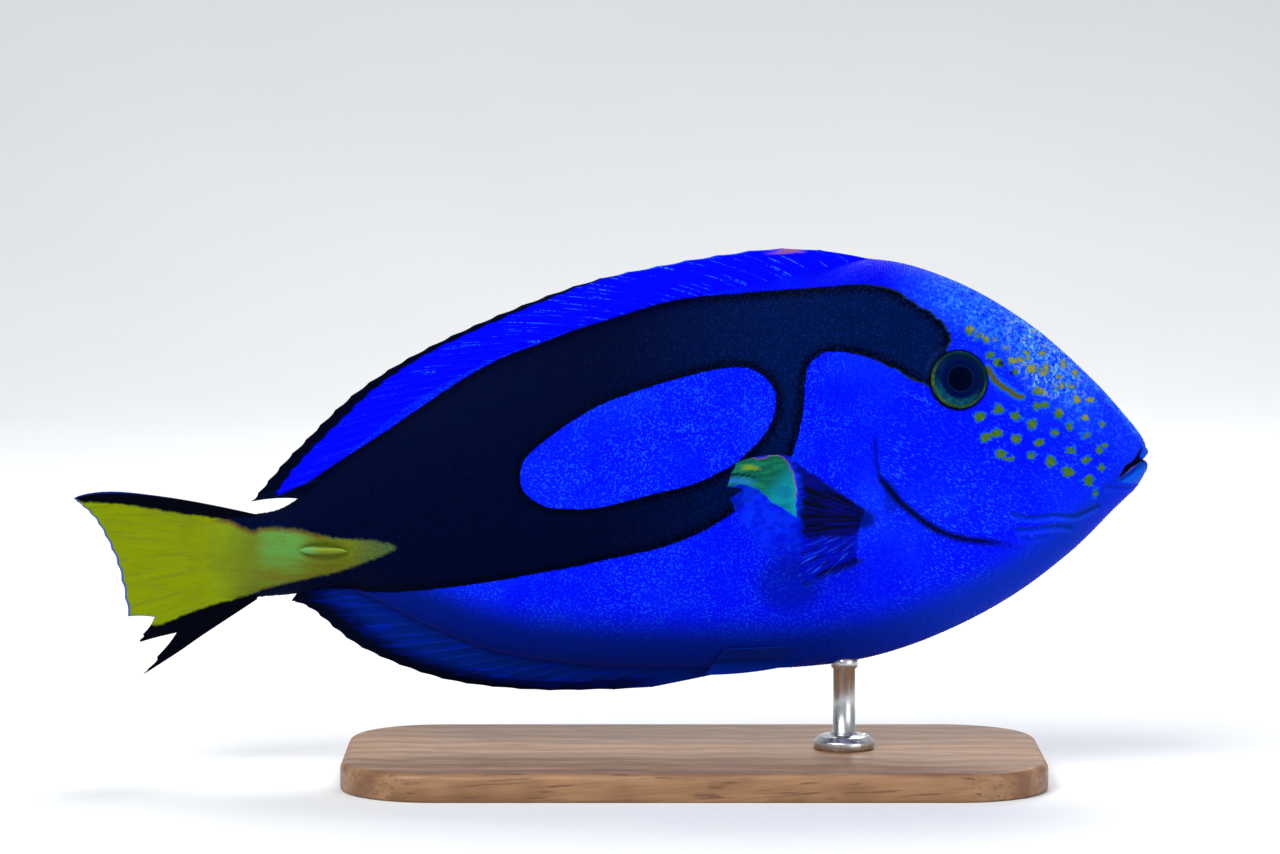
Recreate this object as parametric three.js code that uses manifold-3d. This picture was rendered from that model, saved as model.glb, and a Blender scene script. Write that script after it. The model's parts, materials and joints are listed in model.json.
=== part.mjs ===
// A regal blue tang as it swims, life size, held over a flat base by one rod.
// Millimetres. +X is towards the snout, +Z is up, and -Y is the fish's right side.
// The origin is on the floor, under the middle of the fish's length.

import * as THREE from "three";
import { mergeVertices } from "three/addons/utils/BufferGeometryUtils.js";
import Module from "manifold-3d";

const wasm = await Module();
wasm.setup();

// Driving dimensions
const swimHeight = 64; // of the body's axis above the floor
const seam = 0.3; // gap between pieces that meet
const tailSwing = 9; // how far the tips of the tail fin swing to the fish's left
const swingFrom = 12; // x where that bend begins
const tailTipX = -115.8;
const finSink = 3; // how deep a fin's root is set into the body before it is trimmed

// Stations of the body from the tail root to the snout:
// x and z of the back, x and z of the belly, and half the width
const bodyStations = [
  [-83, -8.2, -82, -26.2, 1.5],
  [-70, -6.3, -70, -25.2, 3.9],
  [-57, 4.6, -56, -24, 6.0],
  [-43, 16.0, -40, -31.2, 8.8],
  [-27, 24.8, -24, -37.3, 11.6],
  [-7, 32.4, -4, -40.0, 14.0],
  [18, 39.0, 19, -40.7, 15.7],
  [41, 44.2, 41, -40.3, 16.2],
  [57, 47.2, 57, -37.9, 15.9],
  [74, 42.5, 72, -32.6, 14.4],
  [90, 33.2, 86.5, -24.8, 11.8],
  [103, 21.8, 99, -15.2, 8.8],
  [110.8, 13.2, 107.6, -6.6, 6.2],
  [114.0, 9.0, 112.8, -1.4, 4.4],
  [114.7, 6.9, 114.3, 1.6, 2.2],
];
const snout = bodyStations.length - 1;
const ringPoints = 28;
const ringsPerStation = 3;
const flankCurve = 2.2; // how flat the flanks are
const keelCurve = { body: 0.62, head: 0.5 }; // above 0.5 the back and belly draw to a keel
const headFrom = 8; // station where the nape begins

// The rear edge of the gill covers, from the nape to the throat, as x and z
const gillLine = [
  [54.2, 60], [53.8, 41], [53.7, 31], [54.6, 20.2], [56.6, 9.8], [58.2, 0.8],
  [62, -5.6], [69.9, -11.1], [82.6, -13.4], [90.4, -17.8], [95.6, -30],
];
// The front edge of the gill covers, begun and ended past their rear edge
const coverLine = [[51, 21], [58, 20], [63, 15], [66, 7], [69.4, 0], [75.4, -6.4], [83, -10.6], [89, -19]];
const behindCovers = [40, -21];
const coverDepth = 11.6; // y of the plane behind a gill cover
const coverFlare = 0.7; // how far the head stands proud of the trunk at the gill covers
const stalkCutX = [-53.5, -51.5]; // where trunk and tail stalk part, at the back and the belly

const mouth = {
  corner: [108.6, 0.3],
  front: [114.4, 4.6],
  gape: 1.1,
  halfWidth: 5.9,
  upperLip: 0.8,
  lowerLip: 0.9,
  chin: [106, -8.1],
};
const eye = { x: 73.8, z: 22.4, radius: 6.3, bulge: 2.0, depth: 3.4, rim: 0.8 };
const nostrils = [
  { x: 85.2, z: 23.6, radius: 0.7 },
  { x: 83.0, z: 25.6, radius: 0.9 },
];
const scalpel = { x: -61.2, z: -15.2, length: 10.6, height: 2.5, thick: 1.5, proud: 0.8 };

const rod = { x: 50.4, radius: 2.4, collar: 6.5, collarHeight: 2.6 };
const base = { x: 18, length: 150, width: 74, height: 6, corner: 20, bevel: 1 };

const colours = {
  blue: new THREE.Color("#1226e8"),
  navy: new THREE.Color("#0b1024"),
  yellow: new THREE.Color("#b3a80c"),
  eye: new THREE.Color("#0d2f42"),
  wood: new THREE.Color("#9a6b42"),
  steel: new THREE.Color("#b9bcc0"),
};

// Rows of numbers read between stations as a smooth curve
function along(rows, s) {
  const last = rows.length - 1;
  const i = Math.min(Math.max(Math.floor(s), 0), last - 1);
  const f = s - i;
  const row = (k) => rows[Math.min(Math.max(k, 0), last)];
  return row(i).map((b, n) => {
    const a = row(i - 1)[n];
    const c = row(i + 1)[n];
    const d = row(i + 2)[n];
    return b + 0.5 * f * (c - a + f * (2 * a - 5 * b + 4 * c - d + f * (3 * (b - c) + d - a)));
  });
}

function smoothStep(from, to, value) {
  const f = Math.min(Math.max((value - from) / (to - from), 0), 1);
  return f * f * (3 - 2 * f);
}

// Half the body's width at station s, at height t from belly (-1) to back (1)
function halfWidth(s, t, width) {
  const { body, head } = keelCurve;
  const keel = body + (head - body) * smoothStep(headFrom, headFrom + 3, s);
  return width * Math.pow(Math.max(1 - Math.pow(Math.abs(t), flankCurve), 0), keel);
}

// A ring of points round the body, grown outwards by a clearance
function bodyRing(s, grow) {
  const [backX, backZ, bellyX, bellyZ, width] = along(bodyStations, s);
  const back = new THREE.Vector3(backX, 0, backZ);
  const belly = new THREE.Vector3(bellyX, 0, bellyZ);
  const out = back.clone().sub(belly).normalize().multiplyScalar(grow);
  back.add(out);
  belly.sub(out);
  return Array.from({ length: ringPoints }, (_, k) => {
    const angle = (2 * Math.PI * k) / ringPoints;
    const t = Math.cos(angle);
    const point = belly.clone().lerp(back, (t + 1) / 2);
    point.y = -Math.sign(Math.sin(angle)) * halfWidth(s, t, width + grow);
    return Math.abs(Math.sin(angle)) < 1e-9 ? point.setY(0) : point;
  });
}

// A closed skin over rings of equal count, capped at both ends
function loft(rings) {
  const count = rings[0].length;
  const middle = (ring) => ring.reduce((sum, p) => sum.add(p), new THREE.Vector3())
    .divideScalar(count);
  const points = [...rings.flat(), middle(rings[0]), middle(rings.at(-1))];
  const startCap = points.length - 2;
  const endCap = points.length - 1;
  const lastRing = (rings.length - 1) * count;
  const faces = [];
  for (let k = 0; k < count; k++) {
    const n = (k + 1) % count;
    for (let r = 0; r < lastRing; r += count) {
      faces.push(r + k, r + count + n, r + count + k, r + k, r + n, r + count + n);
    }
    faces.push(startCap, n, k, endCap, lastRing + k, lastRing + n);
  }
  return solidOf(points, faces);
}

function solidOf(points, faces) {
  const geometry = new THREE.BufferGeometry().setFromPoints(points).setIndex(faces);
  return toSolid(geometry);
}

// A three.js geometry as a solid that can be joined and cut
function toSolid(geometry) {
  const bare = geometry.clone();
  bare.deleteAttribute("normal");
  bare.deleteAttribute("uv");
  const merged = mergeVertices(bare, 1e-4);
  return new wasm.Manifold(new wasm.Mesh({
    numProp: 3,
    vertProperties: merged.attributes.position.array,
    triVerts: new Uint32Array(merged.index.array),
  }));
}

function largest(solid) {
  return solid.decompose().reduce((a, b) => (a.volume() > b.volume() ? a : b));
}

// The station and height t of the ring that passes through x and z
function ringThrough(x, z) {
  let [low, high] = [0, snout];
  for (let i = 0; i < 40; i++) {
    const s = (low + high) / 2;
    const [backX, backZ, bellyX, bellyZ] = along(bodyStations, s);
    const ahead = (x - bellyX) * (backZ - bellyZ) - (z - bellyZ) * (backX - bellyX);
    if (ahead > 0) low = s;
    else high = s;
  }
  const [backX, backZ, bellyX, bellyZ, width] = along(bodyStations, low);
  const span = (backX - bellyX) ** 2 + (backZ - bellyZ) ** 2;
  const share = ((x - bellyX) * (backX - bellyX) + (z - bellyZ) * (backZ - bellyZ)) / span;
  return { s: low, t: 2 * share - 1, width };
}

// How far the flank stands from the middle plane at x and z
function flank(x, z) {
  const { s, t, width } = ringThrough(x, z);
  return halfWidth(s, t, width);
}

// The flank's outward direction on the fish's right side
function flankNormal(x, z) {
  const step = 1.5;
  const alongX = (flank(x + step, z) - flank(x - step, z)) / (2 * step);
  const alongZ = (flank(x, z + step) - flank(x, z - step)) / (2 * step);
  return new THREE.Vector3(-alongX, -1, -alongZ).normalize();
}

// z of the back or the belly at x
function edgeHeight(x, column) {
  let [low, high] = [0, snout];
  for (let i = 0; i < 40; i++) {
    const s = (low + high) / 2;
    if (along(bodyStations, s)[column] < x) low = s;
    else high = s;
  }
  return along(bodyStations, low)[column + 1];
}
const backHeight = (x) => edgeHeight(x, 0);
const bellyHeight = (x) => edgeHeight(x, 2);

function body(grow = 0, flare = () => 0) {
  const steps = snout * ringsPerStation;
  const rings = Array.from({ length: steps + 1 }, (_, i) => {
    const s = i / ringsPerStation;
    return bodyRing(s, grow + flare(s));
  });
  rings[0].forEach((p) => p.setX(p.x - grow));
  rings.at(-1).forEach((p) => p.setX(p.x + grow));
  return loft(rings);
}

// A prism across the fish over an outline in x and z
function prism(outline, from = -40, to = 40) {
  const shape = new THREE.Shape(outline.map(([x, z]) => new THREE.Vector2(x, z)));
  const geometry = new THREE.ExtrudeGeometry(shape, { depth: to - from, bevelEnabled: false });
  geometry.rotateX(Math.PI / 2).translate(0, to, 0);
  return toSolid(geometry);
}

function smoothLine(points, steps) {
  const curve = new THREE.SplineCurve(points.map(([x, z]) => new THREE.Vector2(x, z)));
  return curve.getPoints(steps).map((p) => [p.x, p.y]);
}

// The line moved sideways, to its right as it is walked
function beside(line, distance) {
  return line.map(([x, z], i) => {
    const [ax, az] = line[Math.max(i - 1, 0)];
    const [bx, bz] = line[Math.min(i + 1, line.length - 1)];
    const length = Math.hypot(bx - ax, bz - az);
    return [x + ((bz - az) / length) * distance, z - ((bx - ax) / length) * distance];
  });
}

const mirrored = (solid) => solid.mirror([0, 1, 0]);

// A fin as one sheet between two faces, with its rays raised in the surface.
// root, middle and tip give the ends and the bend of the ray at u, from 0 to 1.
function fin({ rays, steps, root, middle, tip, thick, notch = () => 0.6 }) {
  const columns = 2 * rays - 1;
  const grid = Array.from({ length: columns }, (_, c) => {
    const u = c / (columns - 1);
    const isWeb = c % 2 === 1;
    const [a, b, end] = [root(u), middle(u), tip(u)];
    if (isWeb) end.lerp(a, notch((c - 1) / 2) / end.distanceTo(a));
    return Array.from({ length: steps + 1 }, (_, r) => {
      const v = r / steps;
      return a.clone().multiplyScalar((1 - v) ** 2)
        .addScaledVector(b, 2 * v * (1 - v))
        .addScaledVector(end, v * v);
    });
  });
  const at = (c, r) => grid[Math.min(Math.max(c, 0), columns - 1)][Math.min(Math.max(r, 0), steps)];
  const points = [];
  grid.forEach((column, c) => column.forEach((p, r) => {
    const across = at(c + 1, r).clone().sub(at(c - 1, r));
    const outward = at(c, r + 1).clone().sub(at(c, r - 1));
    const normal = across.cross(outward).normalize();
    const [atRoot, atTip] = c % 2 === 1 ? thick.web : thick.ray;
    const half = (atRoot + (atTip - atRoot) * (r / steps)) / 2;
    points.push(p.clone().addScaledVector(normal, half), p.clone().addScaledVector(normal, -half));
  }));
  const faces = [];
  const index = (c, r, side) => 2 * (c * (steps + 1) + r) + side;
  const quad = (a, b, c, d) => faces.push(a, b, c, a, c, d);
  for (let c = 0; c < columns - 1; c++) {
    for (let r = 0; r < steps; r++) {
      const corners = (side) => [
        index(c, r, side), index(c + 1, r, side), index(c + 1, r + 1, side), index(c, r + 1, side),
      ];
      const [a, b, d, e] = corners(0);
      quad(a, b, d, e);
      const [f, g, h, i] = corners(1);
      faces.push(f, h, g, f, i, h);
    }
    quad(index(c, 0, 1), index(c + 1, 0, 1), index(c + 1, 0, 0), index(c, 0, 0));
    quad(index(c, steps, 0), index(c + 1, steps, 0), index(c + 1, steps, 1), index(c, steps, 1));
  }
  const lastColumn = columns - 1;
  for (let r = 0; r < steps; r++) {
    quad(index(0, r, 0), index(0, r + 1, 0), index(0, r + 1, 1), index(0, r, 1));
    quad(
      index(lastColumn, r, 1), index(lastColumn, r + 1, 1),
      index(lastColumn, r + 1, 0), index(lastColumn, r, 0),
    );
  }
  return solidOf(points, faces);
}

const inPlane = (x, z, y = 0) => new THREE.Vector3(x, y, z);

// Ray tips slide back along the margin, most at mid fin, as a fin half folds
const folded = (u, lean) => Math.min(u + lean * Math.sqrt(Math.sin(Math.PI * Math.min(u, 1))), 1);

function marginCurve(points) {
  return new THREE.SplineCurve(points.map(([x, z]) => new THREE.Vector2(x, z)));
}

function dorsalFin() {
  const margin = marginCurve([
    [51, 48.2], [36, 49.6], [17, 46.9], [-8, 41.4], [-34, 30.8],
    [-53, 19.7], [-67, 6.5], [-72.4, 0.6], [-77, -5],
  ]);
  const root = (u) => {
    const x = 54 - 117.5 * u;
    return inPlane(x, backHeight(x) - finSink);
  };
  const tip = (u) => {
    const p = margin.getPointAt(folded(u, 0.12));
    return inPlane(p.x, p.y, 0.7 * Math.sin(9 * u));
  };
  const middle = (u) => root(u).lerp(tip(u), 0.5).add(inPlane(0.5, 1.4));
  return fin({
    rays: 29, steps: 5, root, middle, tip,
    thick: { ray: [2.6, 0.9], web: [1.5, 0.55] },
  });
}

function analFin() {
  const margin = marginCurve([
    [22, -42.1], [9.5, -44.7], [-2, -45.4], [-18.7, -45.4], [-36.5, -43.0],
    [-53.4, -36.4], [-64, -28.4], [-68.4, -26.6],
  ]);
  const root = (u) => {
    const x = 26 - 91 * u;
    return inPlane(x, bellyHeight(x) + finSink);
  };
  const tip = (u) => {
    const p = margin.getPointAt(folded(u, 0.24));
    return inPlane(p.x, p.y, 0.6 * Math.sin(8 * u));
  };
  const middle = (u) => root(u).lerp(tip(u), 0.5).add(inPlane(0, -0.8));
  return fin({
    rays: 22, steps: 4, root, middle, tip,
    thick: { ray: [2.4, 0.9], web: [1.4, 0.55] },
  });
}

// The tail fin is nearly closed, and torn twice between the rays of its lower lobe
function caudalFin() {
  const rays = 16;
  const topRay = { root: [-76, -8], middle: [-107.6, -1.0], tip: [tailTipX, -5] };
  const rootBottomZ = -26.2;
  const wholeRays = 11;
  const trailing = marginCurve([
    [tailTipX, -5], [-111.1, -9.4], [-107.3, -16.7], [-105.6, -22.4], [-104.2, -30.5],
  ]);
  const lowerTips = [[-101, -34.4], [-101.7, -36.1], [-98, -39.3], [-100, -42], [-101, -43.1]];
  const tears = { 10: 6.5, 12: 8.5 };
  const root = (u) => inPlane(topRay.root[0], topRay.root[1] + (rootBottomZ - topRay.root[1]) * u);
  const tip = (u) => {
    const ray = u * (rays - 1);
    const curl = 2.2 * u * u;
    if (ray <= wholeRays - 1) {
      const p = trailing.getPointAt(Math.pow(ray / (wholeRays - 1), 1.45));
      return inPlane(p.x, p.y, curl);
    }
    const [x, z] = along([[-104.2, -30.5], ...lowerTips], ray - wholeRays + 1);
    return inPlane(x, z, curl);
  };
  const middle = (u) => {
    const even = root(u).lerp(tip(u), 0.6);
    return even.lerp(inPlane(...topRay.middle), Math.max(1 - 2.5 * u, 0) ** 1.5);
  };
  return fin({
    rays, steps: 6, root, middle, tip,
    thick: { ray: [2.8, 0.9], web: [1.8, 0.55] },
    notch: (ray) => tears[ray] ?? 0.5,
  });
}

// The right pectoral fin, beating outwards with its tips curled back
function pectoralFin() {
  const base = { top: [55.3, -5.8], bottom: [52.6, -16.2] };
  const standOut = (u) => 19 - 11 * u;
  const bow = 9.5; // how far the leading edge arches over a straight line
  const outline = marginCurve([
    [26.4, 6.8], [24.6, 1.6], [26.9, -4.6], [31, -10.6], [35.9, -16.2], [40.6, -19.6], [45.2, -19.8],
  ]);
  const rootAt = (u) => [
    base.top[0] + (base.bottom[0] - base.top[0]) * u,
    base.top[1] + (base.bottom[1] - base.top[1]) * u,
  ];
  const root = (u) => {
    const [x, z] = rootAt(u);
    return inPlane(x + 1, z, -flank(x, z) + finSink * 0.6);
  };
  const tip = (u) => {
    const p = outline.getPointAt(u);
    return inPlane(p.x, p.y, -flank(p.x, p.y) - standOut(u));
  };
  const middle = (u) => {
    const [x, z] = rootAt(u);
    const m = tip(u).lerp(inPlane(x, z, -flank(x, z)), 0.55);
    return m.add(inPlane(0, bow * (1 - u) ** 2, -0.34 * standOut(u)));
  };
  return fin({
    rays: 15, steps: 6, root, middle, tip,
    thick: { ray: [1.9, 0.8], web: [1.0, 0.55] },
    notch: (ray) => (ray === 2 ? 4 : 0.5),
  });
}

// The right pelvic fin, folded back along the belly
function pelvicFin() {
  const hug = 1.0; // how far it lies off the skin
  const onBelly = (x, z, off) => {
    const inside = Math.max(z, bellyHeight(x) + 1.6);
    return inPlane(x, z, -flank(x, inside) - off);
  };
  const root = (u) => onBelly(44.5 + 1.2 * u, -37.8 + 2.6 * u, -1.6);
  const tip = (u) => onBelly(20.4 + 4 * u, -41.4 + 5.8 * u, hug + 0.2);
  const middle = (u) => onBelly(33 + 2 * u, -41.2 + 6 * u, hug + 0.9);
  return fin({
    rays: 4, steps: 6, root, middle, tip,
    thick: { ray: [1.7, 0.9], web: [1.0, 0.6] },
    notch: () => 1.2,
  });
}

// A round piece turned so that its +Y points out of the right flank at x and z
function onFlank(geometry, { x, z }, out = 0) {
  const normal = flankNormal(x, z);
  const turn = new THREE.Quaternion().setFromUnitVectors(new THREE.Vector3(0, 1, 0), normal);
  const place = inPlane(x, z, -flank(x, z)).addScaledVector(normal, out);
  return toSolid(geometry.clone().applyQuaternion(turn).translate(...place));
}

// The eyeball as a lens with a dome over the pupil, or with a clearance its socket
function eyeball(grow) {
  const r = eye.radius + grow;
  const profile = [
    [0, -eye.depth - grow], [0.55 * r, -0.82 * eye.depth - grow], [0.9 * r, -0.35 * eye.depth - grow],
    [r, 0.1], [0.95 * r, 0.45 * eye.bulge + grow], [0.74 * r, 0.78 * eye.bulge + grow],
    [0.68 * r, 0.86 * eye.bulge + grow], [0.35 * r, 1.16 * eye.bulge + grow],
    [0, 1.26 * eye.bulge + grow],
  ];
  const lathe = new THREE.LatheGeometry(profile.map(([x, y]) => new THREE.Vector2(x, y)), 20);
  return onFlank(lathe, eye);
}

function eyeRim() {
  const ring = new THREE.TorusGeometry(eye.radius + 0.65, eye.rim, 6, 22).rotateX(Math.PI / 2);
  return onFlank(ring, eye, 0.15);
}

function nostrilRim({ x, z, radius }) {
  const ring = new THREE.TorusGeometry(radius + 0.25, 0.45, 5, 10).rotateX(Math.PI / 2);
  return onFlank(ring, { x, z }, 0.1);
}

function nostrilPit({ x, z, radius }) {
  return onFlank(new THREE.CylinderGeometry(radius, 0.4 * radius, 3, 8), { x, z }, 0);
}

// The slit of the mouth as an outline, wider by a clearance
function mouthSlit(grow) {
  const [corner, front] = [new THREE.Vector2(...mouth.corner), new THREE.Vector2(...mouth.front)];
  const ahead = front.clone().sub(corner).normalize();
  const up = new THREE.Vector2(-ahead.y, ahead.x);
  const end = front.clone().addScaledVector(ahead, 4);
  const back = corner.clone().addScaledVector(ahead, -0.5 - grow);
  const wide = mouth.gape / 2 + grow;
  return [
    back.clone().addScaledVector(up, -seam / 2), end.clone().addScaledVector(up, -wide),
    end.clone().addScaledVector(up, wide), back.clone().addScaledVector(up, seam / 2),
  ].map((p) => [p.x, p.y]);
}

// A lip as a tube that runs round the snout from one corner of the mouth to the other
function lip(side, thick) {
  const corner = new THREE.Vector2(...mouth.corner);
  const ahead = new THREE.Vector2(...mouth.front).sub(corner);
  const lift = new THREE.Vector2(-ahead.y, ahead.x).normalize()
    .multiplyScalar(side * (mouth.gape / 2 + 0.4 * thick));
  const bends = 8;
  const path = new THREE.CatmullRomCurve3(Array.from({ length: bends + 1 }, (_, i) => {
    const turn = Math.PI * (i / bends - 0.5);
    const p = corner.clone().addScaledVector(ahead, Math.cos(turn) * 0.97).add(lift);
    return inPlane(p.x, p.y, mouth.halfWidth * Math.sin(turn));
  }));
  const section = new THREE.Shape().absarc(0, 0, thick, 0, 2 * Math.PI);
  return toSolid(new THREE.ExtrudeGeometry(section, {
    steps: 20, curveSegments: 3, extrudePath: path, bevelEnabled: false,
  }));
}

// The lower jaw's outline, ahead of the chin and below the mouth, wider by a clearance
function jawOutline(grow) {
  const [cornerX, cornerZ] = mouth.corner;
  const [chinX, chinZ] = mouth.chin;
  const below = 3 * (cornerX - chinX);
  const slit = mouthSlit(0);
  return [
    [cornerX - 0.4 - grow, cornerZ - 0.1 + grow],
    [cornerX - 0.4 - below - grow, cornerZ + 3 * (chinZ - cornerZ)], [130, chinZ - 20],
    [130, slit[2][1] + 12], slit[2], [slit[1][0], slit[1][1] + grow],
  ];
}

// The blade that lies folded in a groove of the tail stalk, its point forwards.
// Grown all round by a clearance, it cuts the groove.
function scalpelBlade(grow) {
  const back = -scalpel.length / 2 - grow;
  const front = scalpel.length / 2 + 2 * grow;
  const high = scalpel.height / 2;
  const point = 0.2;
  const shape = new THREE.Shape();
  shape.moveTo(front, point + grow);
  shape.quadraticCurveTo(0, high * 1.9 + grow, back, high * 0.35 + grow);
  shape.lineTo(back, -high * 0.35 - grow);
  shape.quadraticCurveTo(0, -high * 1.1 - grow, front, point - grow);
  const outer = scalpel.proud + (grow > 0 ? 3 : 0);
  const inner = scalpel.thick - scalpel.proud + grow;
  const blade = new THREE.ExtrudeGeometry(shape, {
    depth: outer + inner, curveSegments: 6, bevelEnabled: false,
  });
  const { x, z } = scalpel;
  const normal = flankNormal(x, z);
  blade.rotateX(Math.PI / 2).translate(0, inner, 0);
  blade.rotateZ(Math.atan2(-normal.x, -normal.y)).translate(x, -flank(x, z), z);
  return toSolid(blade);
}

function standRod(hull) {
  const top = swimHeight + bellyHeight(rod.x) + 6;
  const foot = base.height + seam;
  const profile = [
    [0, foot], [rod.collar, foot], [rod.collar, foot + rod.collarHeight * 0.6],
    [rod.collar * 0.8, foot + rod.collarHeight], [rod.radius, foot + rod.collarHeight + 0.6],
    [rod.radius, top], [0, top],
  ];
  const lathe = new THREE.LatheGeometry(profile.map(([x, y]) => new THREE.Vector2(x, y)), 24);
  const upright = toSolid(lathe.rotateX(Math.PI / 2).translate(rod.x, 0, -swimHeight));
  return largest(upright.subtract(hull));
}

function standBase() {
  const { length, width, corner, bevel, height } = base;
  const [a, b] = [length / 2 - bevel, width / 2 - bevel];
  const shape = new THREE.Shape();
  shape.moveTo(-a + corner, -b);
  shape.lineTo(a - corner, -b).absarc(a - corner, -b + corner, corner, -Math.PI / 2, 0);
  shape.lineTo(a, b - corner).absarc(a - corner, b - corner, corner, 0, Math.PI / 2);
  shape.lineTo(-a + corner, b).absarc(-a + corner, b - corner, corner, Math.PI / 2, Math.PI);
  shape.lineTo(-a, -b + corner).absarc(-a + corner, -b + corner, corner, Math.PI, 1.5 * Math.PI);
  const plate = new THREE.ExtrudeGeometry(shape, {
    depth: height - 2 * bevel, curveSegments: 6,
    bevelThickness: bevel, bevelSize: bevel, bevelSegments: 1,
  });
  return toSolid(plate.translate(base.x, 0, bevel));
}

// The tail half of the fish bends sideways
function swing(x) {
  const share = Math.max(swingFrom - x, 0) / (swingFrom - tailTipX);
  return tailSwing * share * share;
}

function meshOf(name, solid, material, bends = true) {
  const { vertProperties, triVerts, numProp, numVert } = solid.getMesh();
  const positions = new Float32Array(numVert * 3);
  for (let i = 0; i < numVert; i++) {
    const [x, y, z] = vertProperties.subarray(i * numProp, i * numProp + 3);
    positions.set([x, bends ? y + swing(x) : y, z], i * 3);
  }
  const geometry = new THREE.BufferGeometry();
  geometry.setAttribute("position", new THREE.BufferAttribute(positions, 3));
  geometry.setIndex(new THREE.BufferAttribute(triVerts, 1));
  geometry.computeVertexNormals();
  const mesh = new THREE.Mesh(geometry, material);
  mesh.name = name;
  return mesh;
}

const skin = (color, roughness = 0.45) => new THREE.MeshStandardMaterial({
  color, roughness, metalness: 0,
});
const materials = {
  blue: skin(colours.blue),
  navy: skin(colours.navy),
  yellow: skin(colours.yellow),
  eye: skin(colours.eye, 0.12),
  wood: skin(colours.wood, 0.55),
  steel: new THREE.MeshStandardMaterial({ color: colours.steel, roughness: 0.3, metalness: 1 }),
};

// The whole body, with a clearance copy that trims whatever grows from it
const whole = body();
const clear = body(seam + 0.05);

// Head and trunk part along the gill line, and the head flares a little over the trunk there
const gillCurve = smoothLine(gillLine, 44);
const aheadOfGills = prism([...gillCurve, [140, -60], [140, 70]]);
const withSeam = prism([...beside(gillCurve, seam), [140, -60], [140, 70]]);
const flare = (s) => coverFlare * smoothStep(7, 7.8, s) * (1 - smoothStep(8.2, 10, s));
const headBlock = body(0, flare).intersect(aheadOfGills);
const behindGills = whole.subtract(withSeam);

const [stalkBack, stalkBelly] = stalkCutX;
const stalkBlock = (shift) => prism([
  [stalkBack + shift, 60], [-150, 60], [-150, -60], [stalkBelly + shift, -60],
]);
const trunk = largest(behindGills.subtract(stalkBlock(seam)));
const stalkWhole = behindGills.intersect(stalkBlock(0));
const groove = scalpelBlade(seam);
const tailStalk = largest(stalkWhole.subtract(groove).subtract(mirrored(groove)));

// The gill covers are plates cut from the sides of the head
const coverFront = smoothLine(coverLine, 20);
const coverCut = prism([...beside(coverFront, -seam), behindCovers], -40, -coverDepth + seam);
const coverRight = largest(
  headBlock.intersect(prism([...coverFront, behindCovers], -40, -coverDepth)),
);

// The lower jaw, the lips and the fittings of the head
const jawCut = prism(jawOutline(seam));
const slit = prism(mouthSlit(0));
const lowerJaw = largest(
  whole.add(lip(-1, mouth.lowerLip)).intersect(prism(jawOutline(0))).subtract(slit),
);
const sockets = eyeball(seam);
let head = headBlock.add(eyeRim()).add(mirrored(eyeRim()))
  .add(lip(1, mouth.upperLip));
for (const nostril of nostrils) {
  const rim = nostrilRim(nostril);
  head = head.add(rim).add(mirrored(rim));
}
for (const nostril of nostrils) {
  const pit = nostrilPit(nostril);
  head = head.subtract(pit).subtract(mirrored(pit));
}
head = head.subtract(jawCut).subtract(slit).subtract(sockets).subtract(mirrored(sockets));
head = largest(head.subtract(coverCut).subtract(mirrored(coverCut)));

const trimmed = (solid) => largest(solid.subtract(clear));
const pectoral = trimmed(pectoralFin());
const pelvic = trimmed(pelvicFin());
const eyeRight = eyeball(0);
const bladeRight = scalpelBlade(0);

const fish = new THREE.Group();
fish.position.z = swimHeight;
fish.add(
  meshOf("head", head, materials.blue),
  meshOf("lower_jaw", lowerJaw, materials.blue),
  meshOf("gill_cover_right", coverRight, materials.blue),
  meshOf("gill_cover_left", mirrored(coverRight), materials.blue),
  meshOf("trunk", trunk, materials.navy),
  meshOf("tail_stalk", tailStalk, materials.navy),
  meshOf("dorsal_fin", trimmed(dorsalFin()), materials.blue),
  meshOf("anal_fin", trimmed(analFin()), materials.navy),
  meshOf("tail_fin", trimmed(caudalFin()), materials.yellow),
  meshOf("pectoral_fin_right", pectoral, materials.yellow),
  meshOf("pectoral_fin_left", mirrored(pectoral), materials.yellow),
  meshOf("pelvic_fin_right", pelvic, materials.blue),
  meshOf("pelvic_fin_left", mirrored(pelvic), materials.blue),
  meshOf("eye_right", eyeRight, materials.eye),
  meshOf("eye_left", mirrored(eyeRight), materials.eye),
  meshOf("scalpel_right", bladeRight, materials.yellow),
  meshOf("scalpel_left", mirrored(bladeRight), materials.yellow),
  meshOf("stand_rod", standRod(clear), materials.steel, false),
);

const model = new THREE.Group();
model.add(fish, meshOf("stand_base", standBase(), materials.wood, false));

export default model;
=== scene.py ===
import json
import math

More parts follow.
